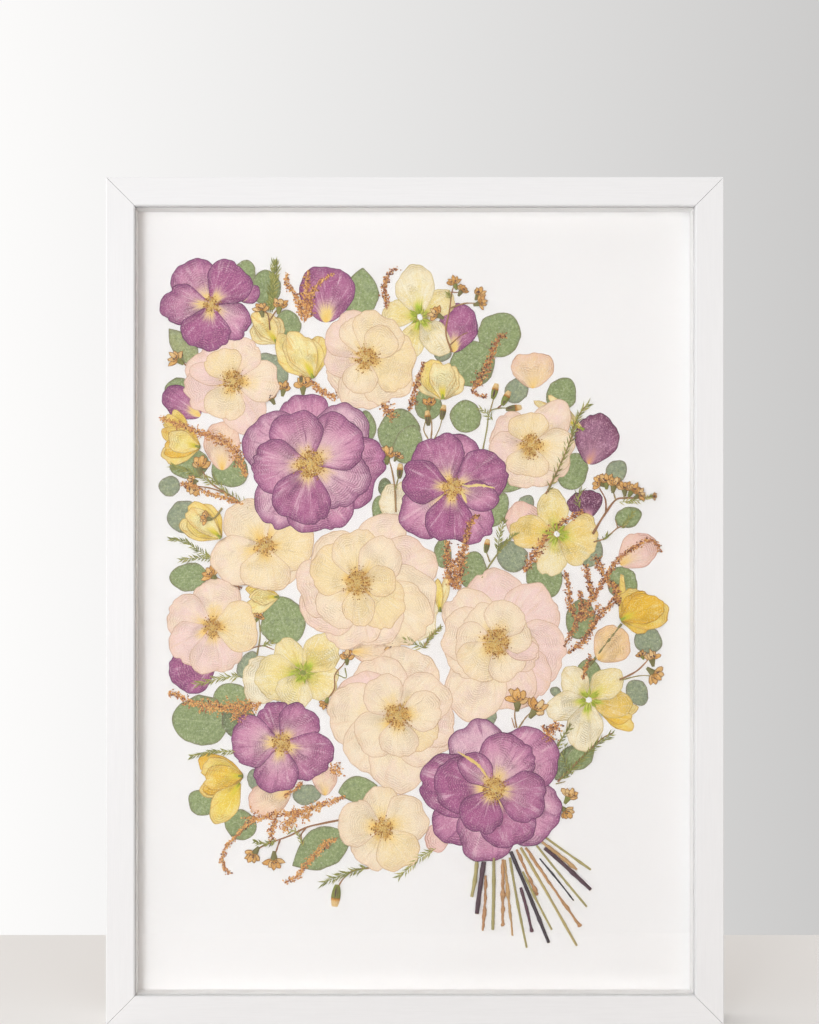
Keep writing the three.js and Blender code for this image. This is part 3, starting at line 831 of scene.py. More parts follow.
pale_yellow_petal = petal_finish(
    "dried_pale_yellow_petal",
    [(0.0, "#8AA218"), (0.2, "#BCD230"), (0.32, "#F0E06C"), (0.54, "#FBE692"), (1.0, "#FCEFBA")],
    "#F8CE52", "#FFF6DA", "#E8C674", "#C0A65A", "#FFFEF0",
    ribs=0.5, edge=0.3, outline=0.55, wrinkles=0.7, flecks=0.4)
yellow_petal = petal_finish(
    "dried_golden_petal",
    [(0.0, "#94A018"), (0.14, "#D6CC2C"), (0.35, "#F9DA3C"), (0.7, "#FCE360"), (1.0, "#FEEE98")],
    "#F8C626", "#FFF8C4", "#F0B028", "#B4821C", "#FFF6B4",
    ribs=0.7, edge=0.3, outline=0.55, wrinkles=0.7, flecks=0.45)
peach_petal = petal_finish(
    "dried_peach_petal",
    [(0.0, "#F4BE4C"), (0.16, "#FCD890"), (0.5, "#FCE2BE"), (1.0, "#FAD8C0")],
    "#FDD894", "#FBD2CC", "#EEBA9C", "#B87E68", "#FFF6E8",
    ribs=0.35, edge=0.35, outline=0.5, wrinkles=0.8, flecks=0.35)

# %% [markdown]
# Eucalyptus and lemon-leaf keep a dull, waxy bloom when they dry. The midrib and the side veins stay
# pale, the edge darkens, and the colour goes from grey-green to olive from leaf to leaf.
# %% Leaf finish
SIDE_VEINS = 11.0  # pairs of side veins on one leaf
LEAF_BLOTCH = 5.0 * MM
LEAF_GRAIN = 1.5 * MM  # drawn coarser than the real cells, so that it shows


def leaf_finish(name, tones, rib, rim):
    material, shader = new_material(name, Roughness=0.62, IOR=1.42)
    shader.inputs["Sheen Weight"].default_value = 0.06
    place, tint = carried(material, "place"), carried(material, "tint")
    m = Mixing(material)
    patch, grain = m.noise(LEAF_BLOTCH, 4.0), m.noise(LEAF_GRAIN, 3.0, 0.7)
    toned = m.off(patch, 0.45, tint[0])
    colour = add_node(material, "ShaderNodeValToRGB", {0: toned}, stops=tones).outputs["Color"]
    colour = m.mixed(m.scaled(grain, 0.5, 0.66, 0.0, 0.6), colour, rib)
    colour = m.mixed(m.scaled(grain, 0.34, 0.48, 0.6, 0.0), colour, tones[0][1])
    off_middle = m.maths("ABSOLUTE", place[1])
    slanted = m.maths("MULTIPLY", m.maths("MULTIPLY_ADD", off_middle, -0.3, place[0]), SIDE_VEINS)
    vein = m.scaled(m.maths("PINGPONG", m.off(patch, 2.2, slanted), 0.5), 0.0, 0.08, 0.3, 0.0)
    vein = m.maths("MULTIPLY", vein, m.scaled(off_middle, 0.4, 0.9, 1.0, 0.0))
    lines = m.maths("MAXIMUM", vein, m.scaled(off_middle, 0.0, 0.06, 0.35, 0.0))
    colour = m.mixed(lines, colour, rib)
    edge = m.scaled(m.off(patch, 3.0, place[2]), 0.0, 2.6, 0.4, 0.0)
    colour = m.mixed(m.maths("MAXIMUM", m.scaled(place[2], 0.0, 0.8, 0.85, 0.0), edge), colour, rim)
    colour = m.mixed(m.scaled(m.noise(LEAF_BLOTCH * 0.4, 1.0), 0.66, 0.72, 0.0, 0.5), colour, "#D3D8C4")
    colour = m.mixed(m.scaled(m.noise(LEAF_BLOTCH * 0.25, 1.0), 0.26, 0.3, 0.45, 0.0), colour, rim)
    relief = m.maths("MULTIPLY_ADD", grain, 0.4, m.maths("ADD", lines, patch))
    bump = add_node(material, "ShaderNodeBump", {"Height": relief, "Strength": 0.6, "Distance": 0.4 * MM})
    link(material, colour, shader.inputs["Base Color"])
    link(material, bump.outputs["Normal"], shader.inputs["Normal"])
    return material


leaf_green = leaf_finish(
    "dried_eucalyptus_leaf",
    [(0.0, "#66744A"), (0.25, "#8C9E64"), (0.5, "#92A466"), (0.75, "#929E84"), (1.0, "#A2A86C")],
    "#BCC79A", "#76624E")


# %% [markdown]
# Stems, florets, anthers and needles are too small for a pattern of their own. What tells them apart
# is how the colour changes from grain to grain, so their finish is a ramp picked by tone, with a
# little chance added to each grain.
# %% Finish of stalks and grains
STALK_RIB = 0.6 * MM


def grain_finish(name, tones, roughness=0.7, spread=0.3):
    material, shader = new_material(name, Roughness=roughness, IOR=1.4)
    tint = carried(material, "tint")
    m = Mixing(material)
    noise = m.noise(STALK_RIB, 3.0)
    tone = m.off(tint[1], spread, m.off(noise, spread, tint[0]))
    colour = add_node(material, "ShaderNodeValToRGB", {0: tone}, stops=tones)
    bump = add_node(material, "ShaderNodeBump", {"Height": noise, "Strength": 0.4, "Distance": 0.2 * MM})
    link(material, colour.outputs["Color"], shader.inputs["Base Color"])
    link(material, bump.outputs["Normal"], shader.inputs["Normal"])
    return material


stem_olive = grain_finish(
    "cut_stem_olive", [(0.0, "#868048"), (0.35, "#B8AC70"), (0.7, "#CCA06C"), (1.0, "#AE7850")], 0.55, 0.12)
stem_dark = grain_finish("cut_stem_plum", [(0.0, "#363036"), (0.5, "#553440"), (1.0, "#7E4C5A")], 0.5, 0.2)
cut_pith = grain_finish("cut_stem_pith", [(0.0, "#C9B98A"), (1.0, "#E8DDB8")], 0.85)
floret = grain_finish(
    "dried_astilbe_floret",
    [(0.0, "#6E3E2E"), (0.25, "#A66844"), (0.5, "#C8885A"), (0.75, "#DE9E4E"), (1.0, "#F4C074")],
    0.8, 0.8)
stalk_red = grain_finish(
    "dried_astilbe_stalk", [(0.0, "#8E5240"), (0.5, "#AC7258"), (1.0, "#C89A78")], 0.7, 0.25)
stamen = grain_finish(
    "dried_stamen",
    [(0.0, "#F3DC90"), (0.3, "#E9BE64"), (0.55, "#D09A48"), (0.8, "#B27830"), (1.0, "#8A5228")],
    0.75, 0.35)
green_grain = grain_finish(
    "dried_green_grain", [(0.0, "#7C7640"), (0.3, "#8E9A38"), (0.6, "#B6C434"), (1.0, "#DDD878")], 0.65, 0.3)
needle_skin = grain_finish("dried_needle", [(0.0, "#707A3A"), (0.5, "#A8AA54"), (1.0, "#D8CE84")], 0.6, 0.6)
twig_bark = grain_finish(
    "dried_twig", [(0.0, "#8A5A3C"), (0.4, "#AE8056"), (0.7, "#A89860"), (1.0, "#9CA45C")], 0.75, 0.3)
print("finishes:", len(bpy.data.materials))

# %% [markdown]
# ## Laying the picture
# The arrangement is given as places on a layout sheet, read piece by piece: across and down in steps
# of 0.742 mm, with lengths and widths in the same steps and angles from the right, turning left.
# Pieces go down in the order in which they were pressed, the lowest first: leaves, stems, loose
# petals, small blooms, twigs and sprays, then the roses.
# %% Leaves
TONE_DARK, TONE_MOSS, TONE_FRESH, TONE_GREY, TONE_OLIVE = 0.05, 0.28, 0.5, 0.75, 0.97

# middle, length, width, angle, tone
LEAVES = {
    "top_left": ((245, 272), 26, 22, 80, TONE_FRESH),
    "beside_needles": ((266, 287), 36, 30, 95, TONE_MOSS),
    "leaf_top": ((360, 293), 52, 40, 82, TONE_FRESH),
    "under_top_freesia": ((288, 324), 30, 26, 100, TONE_MOSS),
    "left_edge_high": ((183, 346), 46, 25, 128, TONE_OLIVE),
    "over_left_rose": ((269, 371), 42, 36, -30, TONE_GREY),
    "left_edge": ((179, 391), 30, 28, 170, TONE_MOSS),
    "upper_right_round": ((500, 334), 46, 44, 60, TONE_FRESH),
    "leaf_upper_right": ((472, 364), 48, 46, 220, TONE_MOSS),
    "small_upper": ((443, 353), 18, 17, 0, TONE_GREY),
    "above_middle_rose": ((428, 404), 32, 28, 110, TONE_MOSS),
    "right_of_it": ((466, 416), 33, 32, 90, TONE_FRESH),
    "large_above_middle": ((399, 431), 46, 42, 80, TONE_MOSS),
    "large_lower_half": ((408, 444), 40, 28, 70, TONE_FRESH),
    "oval_right": ((517, 390), 28, 23, 60, TONE_GREY),
    "oval_far_right": ((562, 394), 36, 30, 60, TONE_MOSS),
    "left_high": ((189, 464), 40, 30, 190, TONE_FRESH),
    "under_left_rose": ((230, 470), 38, 36, -40, TONE_MOSS),
    "left_small": ((169, 486), 22, 21, 180, TONE_GREY),
    "left_round": ((185, 517), 37, 34, 190, TONE_GREY),
    "left_middle": ((188, 577), 38, 29, 185, TONE_MOSS),
    "leaf_round_left": ((283, 621), 50, 46, 110, TONE_FRESH),
    "beside_blush": ((248, 665), 30, 20, 60, TONE_GREY),
    "low_left_high": ((232, 703), 42, 40, 120, TONE_FRESH),
    "leaf_large_left": ((200, 721), 57, 51, 175, TONE_MOSS),
    "low_left_under": ((239, 722), 38, 34, -60, TONE_DARK),
    "low_left_tip": ((201, 803), 29, 25, 140, TONE_FRESH),
    "low_left_round": ((240, 825), 34, 30, 150, TONE_MOSS),
    "low_left_small": ((258, 781), 26, 22, 120, TONE_GREY),
    "low_middle_small": ((307, 795), 29, 21, 5, TONE_GREY),
    "low_middle": ((358, 789), 40, 26, 10, TONE_FRESH),
    "leaf_pointed_low": ((321, 850), 66, 42, 208, TONE_MOSS),
    "right_small": ((573, 471), 38, 32, 70, TONE_MOSS),
    "right_of_middle_high": ((507, 483), 34, 20, -12, TONE_FRESH),
    "right_of_middle_low": ((497, 510), 38, 22, 62, TONE_FRESH),
    "right_edge_high": ((617, 471), 25, 21, 50, TONE_GREY),
    "right_edge": ((629, 517), 28, 21, 20, TONE_MOSS),
    "beside_hellebore": ((526, 505), 22, 17, 60, TONE_GREY),
    "under_hellebore": ((512, 556), 34, 30, 120, TONE_GREY),
    "below_middle_rose": ((473, 570), 38, 28, 80, TONE_MOSS),
    "below_middle_left": ((443, 553), 30, 18, 90, TONE_MOSS),
    "right_under": ((545, 579), 40, 36, -60, TONE_MOSS),
    "right_narrow": ((592, 552), 32, 22, 70, TONE_GREY),
    "right_round": ((623, 583), 34, 31, -50, TONE_FRESH),
    "leaf_right": ((581, 619), 41, 30, 80, TONE_MOSS),
    "far_right": ((649, 641), 29, 27, -20, TONE_GREY),
    "right_low": ((588, 678), 38, 28, -100, TONE_MOSS),
    "far_right_low": ((638, 693), 28, 22, -60, TONE_GREY),
    "low_right": ((566, 762), 42, 20, 62, TONE_DARK),
    "low_right_under": ((581, 757), 38, 24, 40, TONE_MOSS),
    "above_low_rose": ((487, 716), 23, 20, 100, TONE_GREY),
    "between_roses_high": ((366, 427), 34, 20, 90, TONE_MOSS),
    "between_roses": ((386, 512), 36, 26, -60, TONE_MOSS),
    "between_small": ((385, 487), 19, 14, 90, TONE_DARK),
    "gap_left": ((300, 699), 20, 14, 20, TONE_GREY),
    "gap_right": ((556, 692), 12, 10, 150, TONE_GREY),
}
POINTED = {
    "leaf_top", "leaf_pointed_low", "left_edge_high", "low_right", "low_right_under", "right_of_middle_high",
    "low_middle",
}


def chances(name):
    """A fixed run of chance numbers that belongs to one piece."""
    return np.random.default_rng([ord(letter) for letter in name])


def own_or_set(name, gathered):
    """A measured node's own piece, or the set that all the small ones of its kind go into."""
    return Pressed(f"{name}_pressed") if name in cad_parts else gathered


small_leaves = Pressed("small_leaves")
for name, (at, long, wide, angle, tone) in LEAVES.items():
    leaf = own_or_set(name, small_leaves)
    form = POINTED_LEAF if name in POINTED else ROUND_LEAF
    add_leaf(leaf, at, angle, long, wide, chances(name), tone, form)
    if leaf is not small_leaves:
        leaf.build([leaf_green], "pressed_leaf", name)
small_leaves.build([leaf_green], "pressed_leaf")
print("leaves:", len(LEAVES))

# %% [markdown]
# The bouquet ends in a sheaf of cut stems. Each is a flattened tube with a pale cut end and a few
# swellings where leaves once grew.
# %% Cut stems
# start, end, width, dark or olive, tone
STEMS = {
    "first": ((477, 862), (472, 897), 4.0, "olive", 0.3),
    "stem_dark_short": ((484, 862), (477, 914), 5.0, "dark", 0.4),
    "brown_long": ((486, 876), (483, 931), 2.4, "olive", 0.9),
    "stem_olive_straight": ((494, 858), (493, 930), 3.6, "olive", 0.25),
    "brown_straight": ((503, 860), (503, 925), 3.0, "olive", 0.85),
    "tan": ((505, 860), (513, 936), 2.3, "olive", 0.65),
    "olive_low": ((510, 858), (527, 948), 2.7, "olive", 0.3),
    "stem_black_long": ((511, 852), (549, 943), 4.0, "dark", 0.05),
    "plum_short": ((521, 888), (532, 931), 3.2, "dark", 0.6),
    "brown_slant": ((517, 850), (537, 894), 2.3, "olive", 0.9),
    "olive_slant": ((523, 872), (552, 930), 2.4, "olive", 0.3),
    "stem_olive_long": ((521, 848), (577, 946), 2.9, "olive", 0.35),
    "rust_long": ((526, 848), (580, 926), 2.6, "olive", 0.8),
    "black_thin": ((540, 859), (574, 901), 1.7, "dark", 0.0),
    "olive_right": ((537, 846), (587, 907), 2.3, "olive", 0.3),
    "stem_plum_right": ((545, 848), (591, 890), 4.4, "dark", 0.45),
    "tan_short": ((542, 842), (577, 870), 2.8, "olive", 0.6),
    "olive_top": ((546, 838), (591, 870), 2.5, "olive", 0.3),
    "freesia_stalk": ((622, 624), (590, 666), 3.0, "olive", 0.0),
}
STEM_NODES = 5  # swellings along one stem
KNOTTY = {"brown_long", "brown_straight", "tan", "brown_slant", "rust_long", "tan_short"}  # woody ones
KNOBBED = {"brown_straight", "rust_long", "plum_short", "brown_slant"}  # with a bud left at the cut end


@waits
def add_cut_stem(piece, start, end, width, tone, rng, knotty, knobbed):
    bend = rng.uniform(-0.8, 0.8)
    middle = (np.array(start) + np.array(end)) / 2 + (bend, 0)
    line = smooth_route([start, tuple(middle), end], 1.2)
    share = np.linspace(0, 1, len(line))
    radius = STEP * width / 2 * (0.92 - 0.1 * share + 0.05 * np.sin(share * 9 + rng.uniform(0, 6)))
    for knot in rng.uniform(0.1, 0.95, STEM_NODES * (1 + knotty)):
        radius += (0.16 + 0.2 * knotty) * np.exp(-((share - knot) * len(line) / 1.6) ** 2)
    along = line[-1] - line[0]
    sideways = np.array([-along[1], along[0]]) / np.linalg.norm(along)
    line = line + knotty * waves(share * 20, rng, [(1.3, 0.12), (3.1, 0.1)])[:, None] * sideways
    rest = settle(line, radius)
    add_tube(piece, np.column_stack([line, rest + radius * 0.8]), radius, tone, rng, sides=8, flat=0.8)
    tip = np.append(line[-1], rest[-1] + radius[-1] * 0.8)
    away = np.append((line[-1] - line[-2]) / np.linalg.norm(line[-1] - line[-2]), 0)
    cut = np.vstack([tip, tip + away * 0.25])
    add_tube(piece, cut, [radius[-1] * 0.94, radius[-1] * 0.86], 0.5, rng, sides=8, flat=0.8, finish=1)
    if knobbed:
        add_beads(piece, [tip, tip - away * 1.6], [1.7, 1.3], tone, rng, 0.6)


thin_stems = {"olive": Pressed("thin_stems_olive"), "dark": Pressed("thin_stems_dark")}
for name, (start, end, width, kind, tone) in STEMS.items():
    stem = own_or_set(name, thin_stems[kind])
    add_cut_stem(stem, start, end, width, tone, chances(name), name in KNOTTY, name in KNOBBED)
    if stem is not thin_stems[kind]:
        stem.build([stem_olive if kind == "olive" else stem_dark, cut_pith], f"dried_stem_{kind}", name)
thin_stems["olive"].build([stem_olive, cut_pith], "dried_stem_olive")
thin_stems["dark"].build([stem_dark, cut_pith], "dried_stem_dark")
print("cut stems:", len(STEMS))

# %% [markdown]
# Loose petals fill the gaps and the edge of the picture. Each is the same fan as a petal of a rose,
# with a wider claw and hardly a notch.
# %% Loose petals
# base, angle, length, width, tone
LOOSE_PETALS = {
    "purple": {
        "petal_purple_top": ((326, 322), 88, 58, 56, 0.1),
        "purple_upper_right": ((453, 352), 76, 50, 38, 0.1),
        "purple_left_low": ((214, 664), 200, 46, 46, 0.0),
        "purple_left_high": ((200, 416), 143, 42, 32, 0.1),
        "purple_corner": ((240, 300), 30, 22, 18, 0.1),
    },
    "plum": {
        "petal_plum_right": ((589, 464), 72, 50, 44, 0.33),
        "plum_small": ((590, 518), 105, 30, 34, 0.0),
    },
    "peach": {
        "peach_top": ((533, 388), 90, 38, 42, 0.3),
        "peach_right": ((621, 565), 40, 43, 36, 0.8),
        "peach_low_right": ((598, 660), 48, 40, 38, 0.1),
        "peach_low_left": ((290, 792), 202, 42, 34, 0.5),
        "peach_left": ((222, 470), 90, 48, 36, 0.6),
        "pink_middle": ((520, 545), 75, 44, 38, 0.8),
        "blush_low": ((450, 836), 195, 26, 28, 0.9),
        "peach_low": ((325, 796), 90, 32, 24, 0.6),
        "peach_centre": ((352, 652), 0, 50, 30, 0.5),
    },
    "white": {
        "white_left": ((290, 684), 172, 52, 46, 1.0),
        "white_centre": ((398, 606), -20, 44, 50, 1.0),
        "white_gap": ((420, 512), 150, 44, 42, 0.95),
    },
}
LOOSE_FINISH = {
    "purple": (purple_petal, "purple_petal"),
    "plum": (plum_petal, "plum_petal"),
    "peach": (peach_petal, "peach_petal"),
    "white": (pale_yellow_petal, "pale_yellow_petal"),
}

for kind, petals in LOOSE_PETALS.items():
    skin, slot = LOOSE_FINISH[kind]
    others = Pressed(f"loose_petals_{kind}")
    for name, (base, angle, long, wide, tone) in petals.items():
        petal = own_or_set(name, others)
        add_petal(petal, base, angle, long, wide, chances(name), LOOSE, tone)
        if petal is not others:
            petal.build([skin], slot, name)
    others.build([skin], slot)
print("loose petals:", sum(len(petals) for petals in LOOSE_PETALS.values()))

# %% [markdown]
# A pressed freesia folds its petals together like a hand. Seen from the side it is a fan of narrow
# petals out of one green throat, so each bloom is a few petals with their angles spread, the outer
# ones laid first.
# %% Freesias
# base, angle, length, width, how pale
FREESIAS = {
    "pale_upper_left": ((277, 343), 122, 35, 34, 1.0),
    "left_tip": ((188, 436), 135, 32, 18, 0.5),
    "left_high": ((200, 447), 168, 42, 38, 0.4),
    "freesia_upper_left": ((313, 378), 110, 52, 46, 0.45),
    "freesia_upper_middle": ((443, 399), 92, 39, 46, 0.8),
    "pale_right": ((584, 430), 140, 64, 15, 1.0),
    "freesia_left": ((221, 538), 140, 44, 34, 0.6),
    "mid_left": ((279, 597), 180, 39, 24, 0.5),
    "pale_centre": ((440, 612), 86, 44, 14, 0.8),
    "right_sliver": ((624, 616), 98, 44, 9, 0.3),
    "freesia_right": ((621, 620), 28, 48, 50, 0.0),
    "low_right": ((602, 714), -8, 43, 22, 0.5),
    "freesia_low_left": ((243, 776), 183, 47, 40, 0.3),
}
FREESIA_SKIRT = ((240, 783), -124, 48, 27, 0.45)  # the drooping petal of the bloom low on the left


@waits
def add_throat(piece, at, angle, rng, reach=5.0, thick=1.5):
    """The green throat from which the petals of a bloom come."""
    tip = np.array(at) + reach * np.array([math.cos(math.radians(angle)), -math.sin(math.radians(angle))])
    line = smooth_route([at, tuple(tip)], 0.8)
    radius = np.linspace(thick, 0.4, len(line))
    rest = settle(line, radius, 0.4)
    path = np.column_stack([line, rest + radius * 0.2])
    add_tube(piece, path, radius, 0.3, rng, sides=8, flat=0.4, finish=1)


def add_freesia(piece, at, angle, long, wide, rng, tone):
    count = 2 if wide < 16 else 3 if wide < 30 else 5
    spread = math.degrees(math.atan2(wide / 2, long)) * 0.95
    turns = np.linspace(-spread, spread, count)
    for turn in sorted(turns, key=abs, reverse=True):
        each = wide * (0.62 if count > 3 else 0.72)
        pale = float(np.clip(tone + rng.uniform(-0.3, 0.4), 0, 1))
        add_petal(piece, at, angle + turn, long * rng.uniform(0.84, 1.02), each, rng, FOLDED, pale)
    add_throat(piece, at, angle, rng)


small_freesias = Pressed("small_freesias")
for name, (base, angle, long, wide, tone) in FREESIAS.items():
    bloom = own_or_set(name, small_freesias)
    add_freesia(bloom, base, angle, long, wide, chances(name), tone)
    if name == "freesia_low_left":
        at, turn, size, across, pale = FREESIA_SKIRT
        add_petal(bloom, at, turn, size, across, chances("skirt"), BLOOM, pale)
    if bloom is not small_freesias:
        bloom.build([yellow_petal, green_grain], "yellow_petal", name)
small_freesias.build([yellow_petal, green_grain], "yellow_petal")
print("freesias:", len(FREESIAS))

# %% [markdown]
# A hellebore has five broad petals round a ring of small green horns, with a tuft of pale stamens
# inside the ring.
# %% Hellebores
# middle, then the petals as angle, length, width, how pale, lowest first
HELLEBORES = {
    "hellebore_top": ((420, 317), [
        (168, 38, 26, 0.5), (40, 44, 27, 0.6), (-105, 44, 26, 0.5), (-50, 42, 29, 0.8), (100, 53, 40, 0.8)]),
    "hellebore_right": ((557, 534), [
        (98, 45, 32, 0.4), (-105, 45, 30, 0.7), (175, 46, 32, 0.2), (-16, 42, 50, 0.3)]),
    "hellebore_low_right": ((589, 700), [
        (128, 40, 28, 0.8), (-168, 43, 28, 0.9), (-12, 46, 30, 0.1), (42, 40, 30, 0.6), (-95, 48, 36, 0.9)]),
    "hellebore_low_left": ((303, 673), [
        (132, 40, 32, 0.5), (-28, 40, 36, 0.5), (48, 48, 38, 0.4), (190, 46, 46, 0.5), (-115, 38, 38, 0.7)]),
}
HORNS, THREADS = 13, 16


@waits
def add_horns(piece, at, rng, hole, reach=8.6):
    """The ring of green horns of a hellebore, the open middle, and a few stamens."""
    middle = on_card(*at)
    turn = np.linspace(0, 2 * math.pi, HORNS, endpoint=False) + rng.uniform(-0.2, 0.2, HORNS)
    out = np.column_stack([np.cos(turn), np.sin(turn)])
    base = held_up(middle[None], 1)[0]
    starts = np.column_stack([middle + out * 2.2, np.full(HORNS, base + 0.4)])
    tips = middle + out * (reach * rng.uniform(0.7, 1.25, (HORNS, 1)))
    ends = np.column_stack([tips, np.full(HORNS, base + 0.6)])
    add_needles(piece, starts, ends, rng.uniform(1.9, 3.1, HORNS), 0.68, rng, finish=1)
    add_beads(piece, [np.append(middle, base + 0.3)], [2.5], 0.1, rng, 0.12, finish=hole)
    turn = rng.uniform(0, 2 * math.pi, THREADS)
    out = np.column_stack([np.cos(turn), np.sin(turn)])
    tips = middle + out * (reach * rng.uniform(0.35, 1.0, (THREADS, 1)))
    starts = np.tile(np.append(middle, base + 0.5), (THREADS, 1))
    ends = np.column_stack([tips, held_up(tips, 1) + rng.uniform(0.2, 0.6, THREADS)])
    add_needles(piece, starts, ends, np.full(THREADS, 0.3), 0.1, rng, finish=2)
    add_beads(piece, ends, rng.uniform(0.3, 0.5, THREADS), 0.25, rng, finish=2)


for name, (at, petals) in HELLEBORES.items():
    bloom, rng = Pressed(f"{name}_pressed"), chances(name)
    for angle, long, wide, tone in petals:
        add_petal(bloom, at, angle, long, wide, rng, BLOOM, tone)
    add_horns(bloom, at, rng, hole=1 if name == "hellebore_low_left" else 3)
    bloom.build([pale_yellow_petal, green_grain, stamen, card_finish], "pale_yellow_petal", name)
print("hellebores:", len(HELLEBORES))

# %% [markdown]
# ## Twigs, wax flowers, needles and sprays
# These give the picture its fine lines. A twig is a tube that lies over whatever is there and grows
# thinner towards its tip.
# %% Twigs
# route, width
TWIGS = {
    "top_left": ([(270, 330), (268, 315), (262, 309)], 2.0),
    "top_left_branch": ([(269, 322), (275, 312), (281, 306)], 2.0),
    "left_edge": ([(188, 368), (182, 361), (177, 358)], 2.0),
    "upper": ([(452, 352), (446, 332), (450, 308), (452, 292), (455, 284)], 2.4),
    "upper_branch": ([(450, 308), (465, 303), (480, 303)], 2.2),
    "upper_bud": ([(452, 292), (460, 292)], 1.6),
    "upper_side": ([(450, 345), (460, 336), (468, 332)], 1.6),
    "above_middle": ([(431, 441), (432, 425), (429, 410)], 2.0),
    "above_middle_left": ([(429, 440), (424, 430), (426, 420)], 1.8),
    "above_middle_right": ([(434, 440), (440, 427), (443, 415)], 1.6),
    "between": ([(396, 512), (395, 490), (392, 470), (388, 457)], 2.6),
    "between_branch": ([(395, 490), (399, 476)], 2.0),
    "right_of_top": ([(482, 455), (487, 430), (490, 412), (500, 408), (513, 408)], 2.0),
    "right_of_top_left": ([(490, 412), (494, 398)], 2.0),
    "right_of_top_right": ([(498, 408), (507, 400)], 2.0),
    "left_long": ([(248, 508), (228, 494), (212, 484), (203, 472), (200, 466)], 2.6),
    "left_long_branch": ([(228, 494), (210, 488), (196, 486)], 2.2),
    "left_short": ([(222, 508), (214, 518), (206, 518)], 3.0),
    "left_middle": ([(242, 588), (228, 583), (213, 576)], 2.4),
    "left_middle_branch": ([(240, 590), (234, 580)], 1.8),
    "middle_low": ([(323, 704), (334, 690), (335, 675), (343, 665), (346, 660)], 2.0),
    "middle_low_branch": ([(345, 668), (346, 678), (336, 674)], 1.6),
    "middle_short": ([(401, 652), (394, 648)], 3.0),
    "right_main": ([(593, 534), (604, 516), (616, 500), (626, 498), (642, 498)], 3.0),
    "right_left_branch": ([(606, 514), (606, 500), (600, 488)], 2.2),
    "right_middle_branch": ([(616, 500), (613, 488)], 2.0),
    "right_high_branch": ([(624, 498), (626, 490)], 2.0),
    "right_low": ([(594, 542), (606, 538), (618, 528), (626, 526)], 2.0),
    "right_low_branch": ([(618, 528), (616, 520)], 1.6),
    "right_tip": ([(642, 498), (655, 496)], 2.0),
    "far_right": ([(620, 680), (636, 672), (645, 664), (650, 658)], 2.4),
    "far_right_branch": ([(622, 680), (640, 676), (652, 676)], 1.8),
    "low_left": ([(342, 820), (322, 824), (306, 828), (290, 836), (274, 842), (260, 848), (255, 854)], 2.6),
    "low_left_branch": ([(280, 840), (276, 852), (274, 860)], 2.2),
    "low_left_side": ([(306, 828), (301, 836), (303, 846)], 2.0),
    "bottom": ([(370, 868), (352, 872), (340, 884), (338, 896)], 2.4),
    "under_hellebore": ([(482, 578), (492, 562), (504, 546), (516, 533)], 2.4),
    "under_hellebore_side": ([(490, 562), (486, 550)], 2.0),
    "left_gap": ([(257, 655), (260, 636), (259, 620)], 2.2),
    "left_gap_side": ([(247, 650), (262, 646), (274, 650)], 1.8),
    "right_high": ([(548, 492), (556, 474), (566, 452), (572, 432), (580, 414), (588, 404)], 2.4),
    "low_right": ([(558, 782), (572, 768), (590, 750), (604, 738), (614, 733)], 2.4),
    "low_right_high": ([(556, 748), (564, 736), (572, 724)], 2.0),
    "low_right_short": ([(556, 784), (566, 782)], 1.6),
    "centre": ([(424, 648), (430, 638), (441, 627)], 3.0),
}


def lay_twig(piece, route, width, rng, tone=0.4, finish=0, sides=6):
    line = smooth_route(route, 1.1)
    share = np.linspace(0, 1, len(line))
    radius = STEP * width * 0.4 * (1.0 - 0.35 * share) * (1 + 0.12 * np.sin(share * 17 + rng.uniform(0, 6)))
    rest = settle(line, radius)
    add_tube(piece, np.column_stack([line, rest + radius * 0.75]), radius, tone, rng, sides, 0.8, finish)
    return line, rest


add_twig = waits(lay_twig)
twigs = Pressed("wax_flower_twigs")
for name, (route, width) in TWIGS.items():
    rng = chances(name)
    add_twig(twigs, route, width, rng, rng.uniform(0.2, 0.8))
print("twigs:", len(TWIGS))

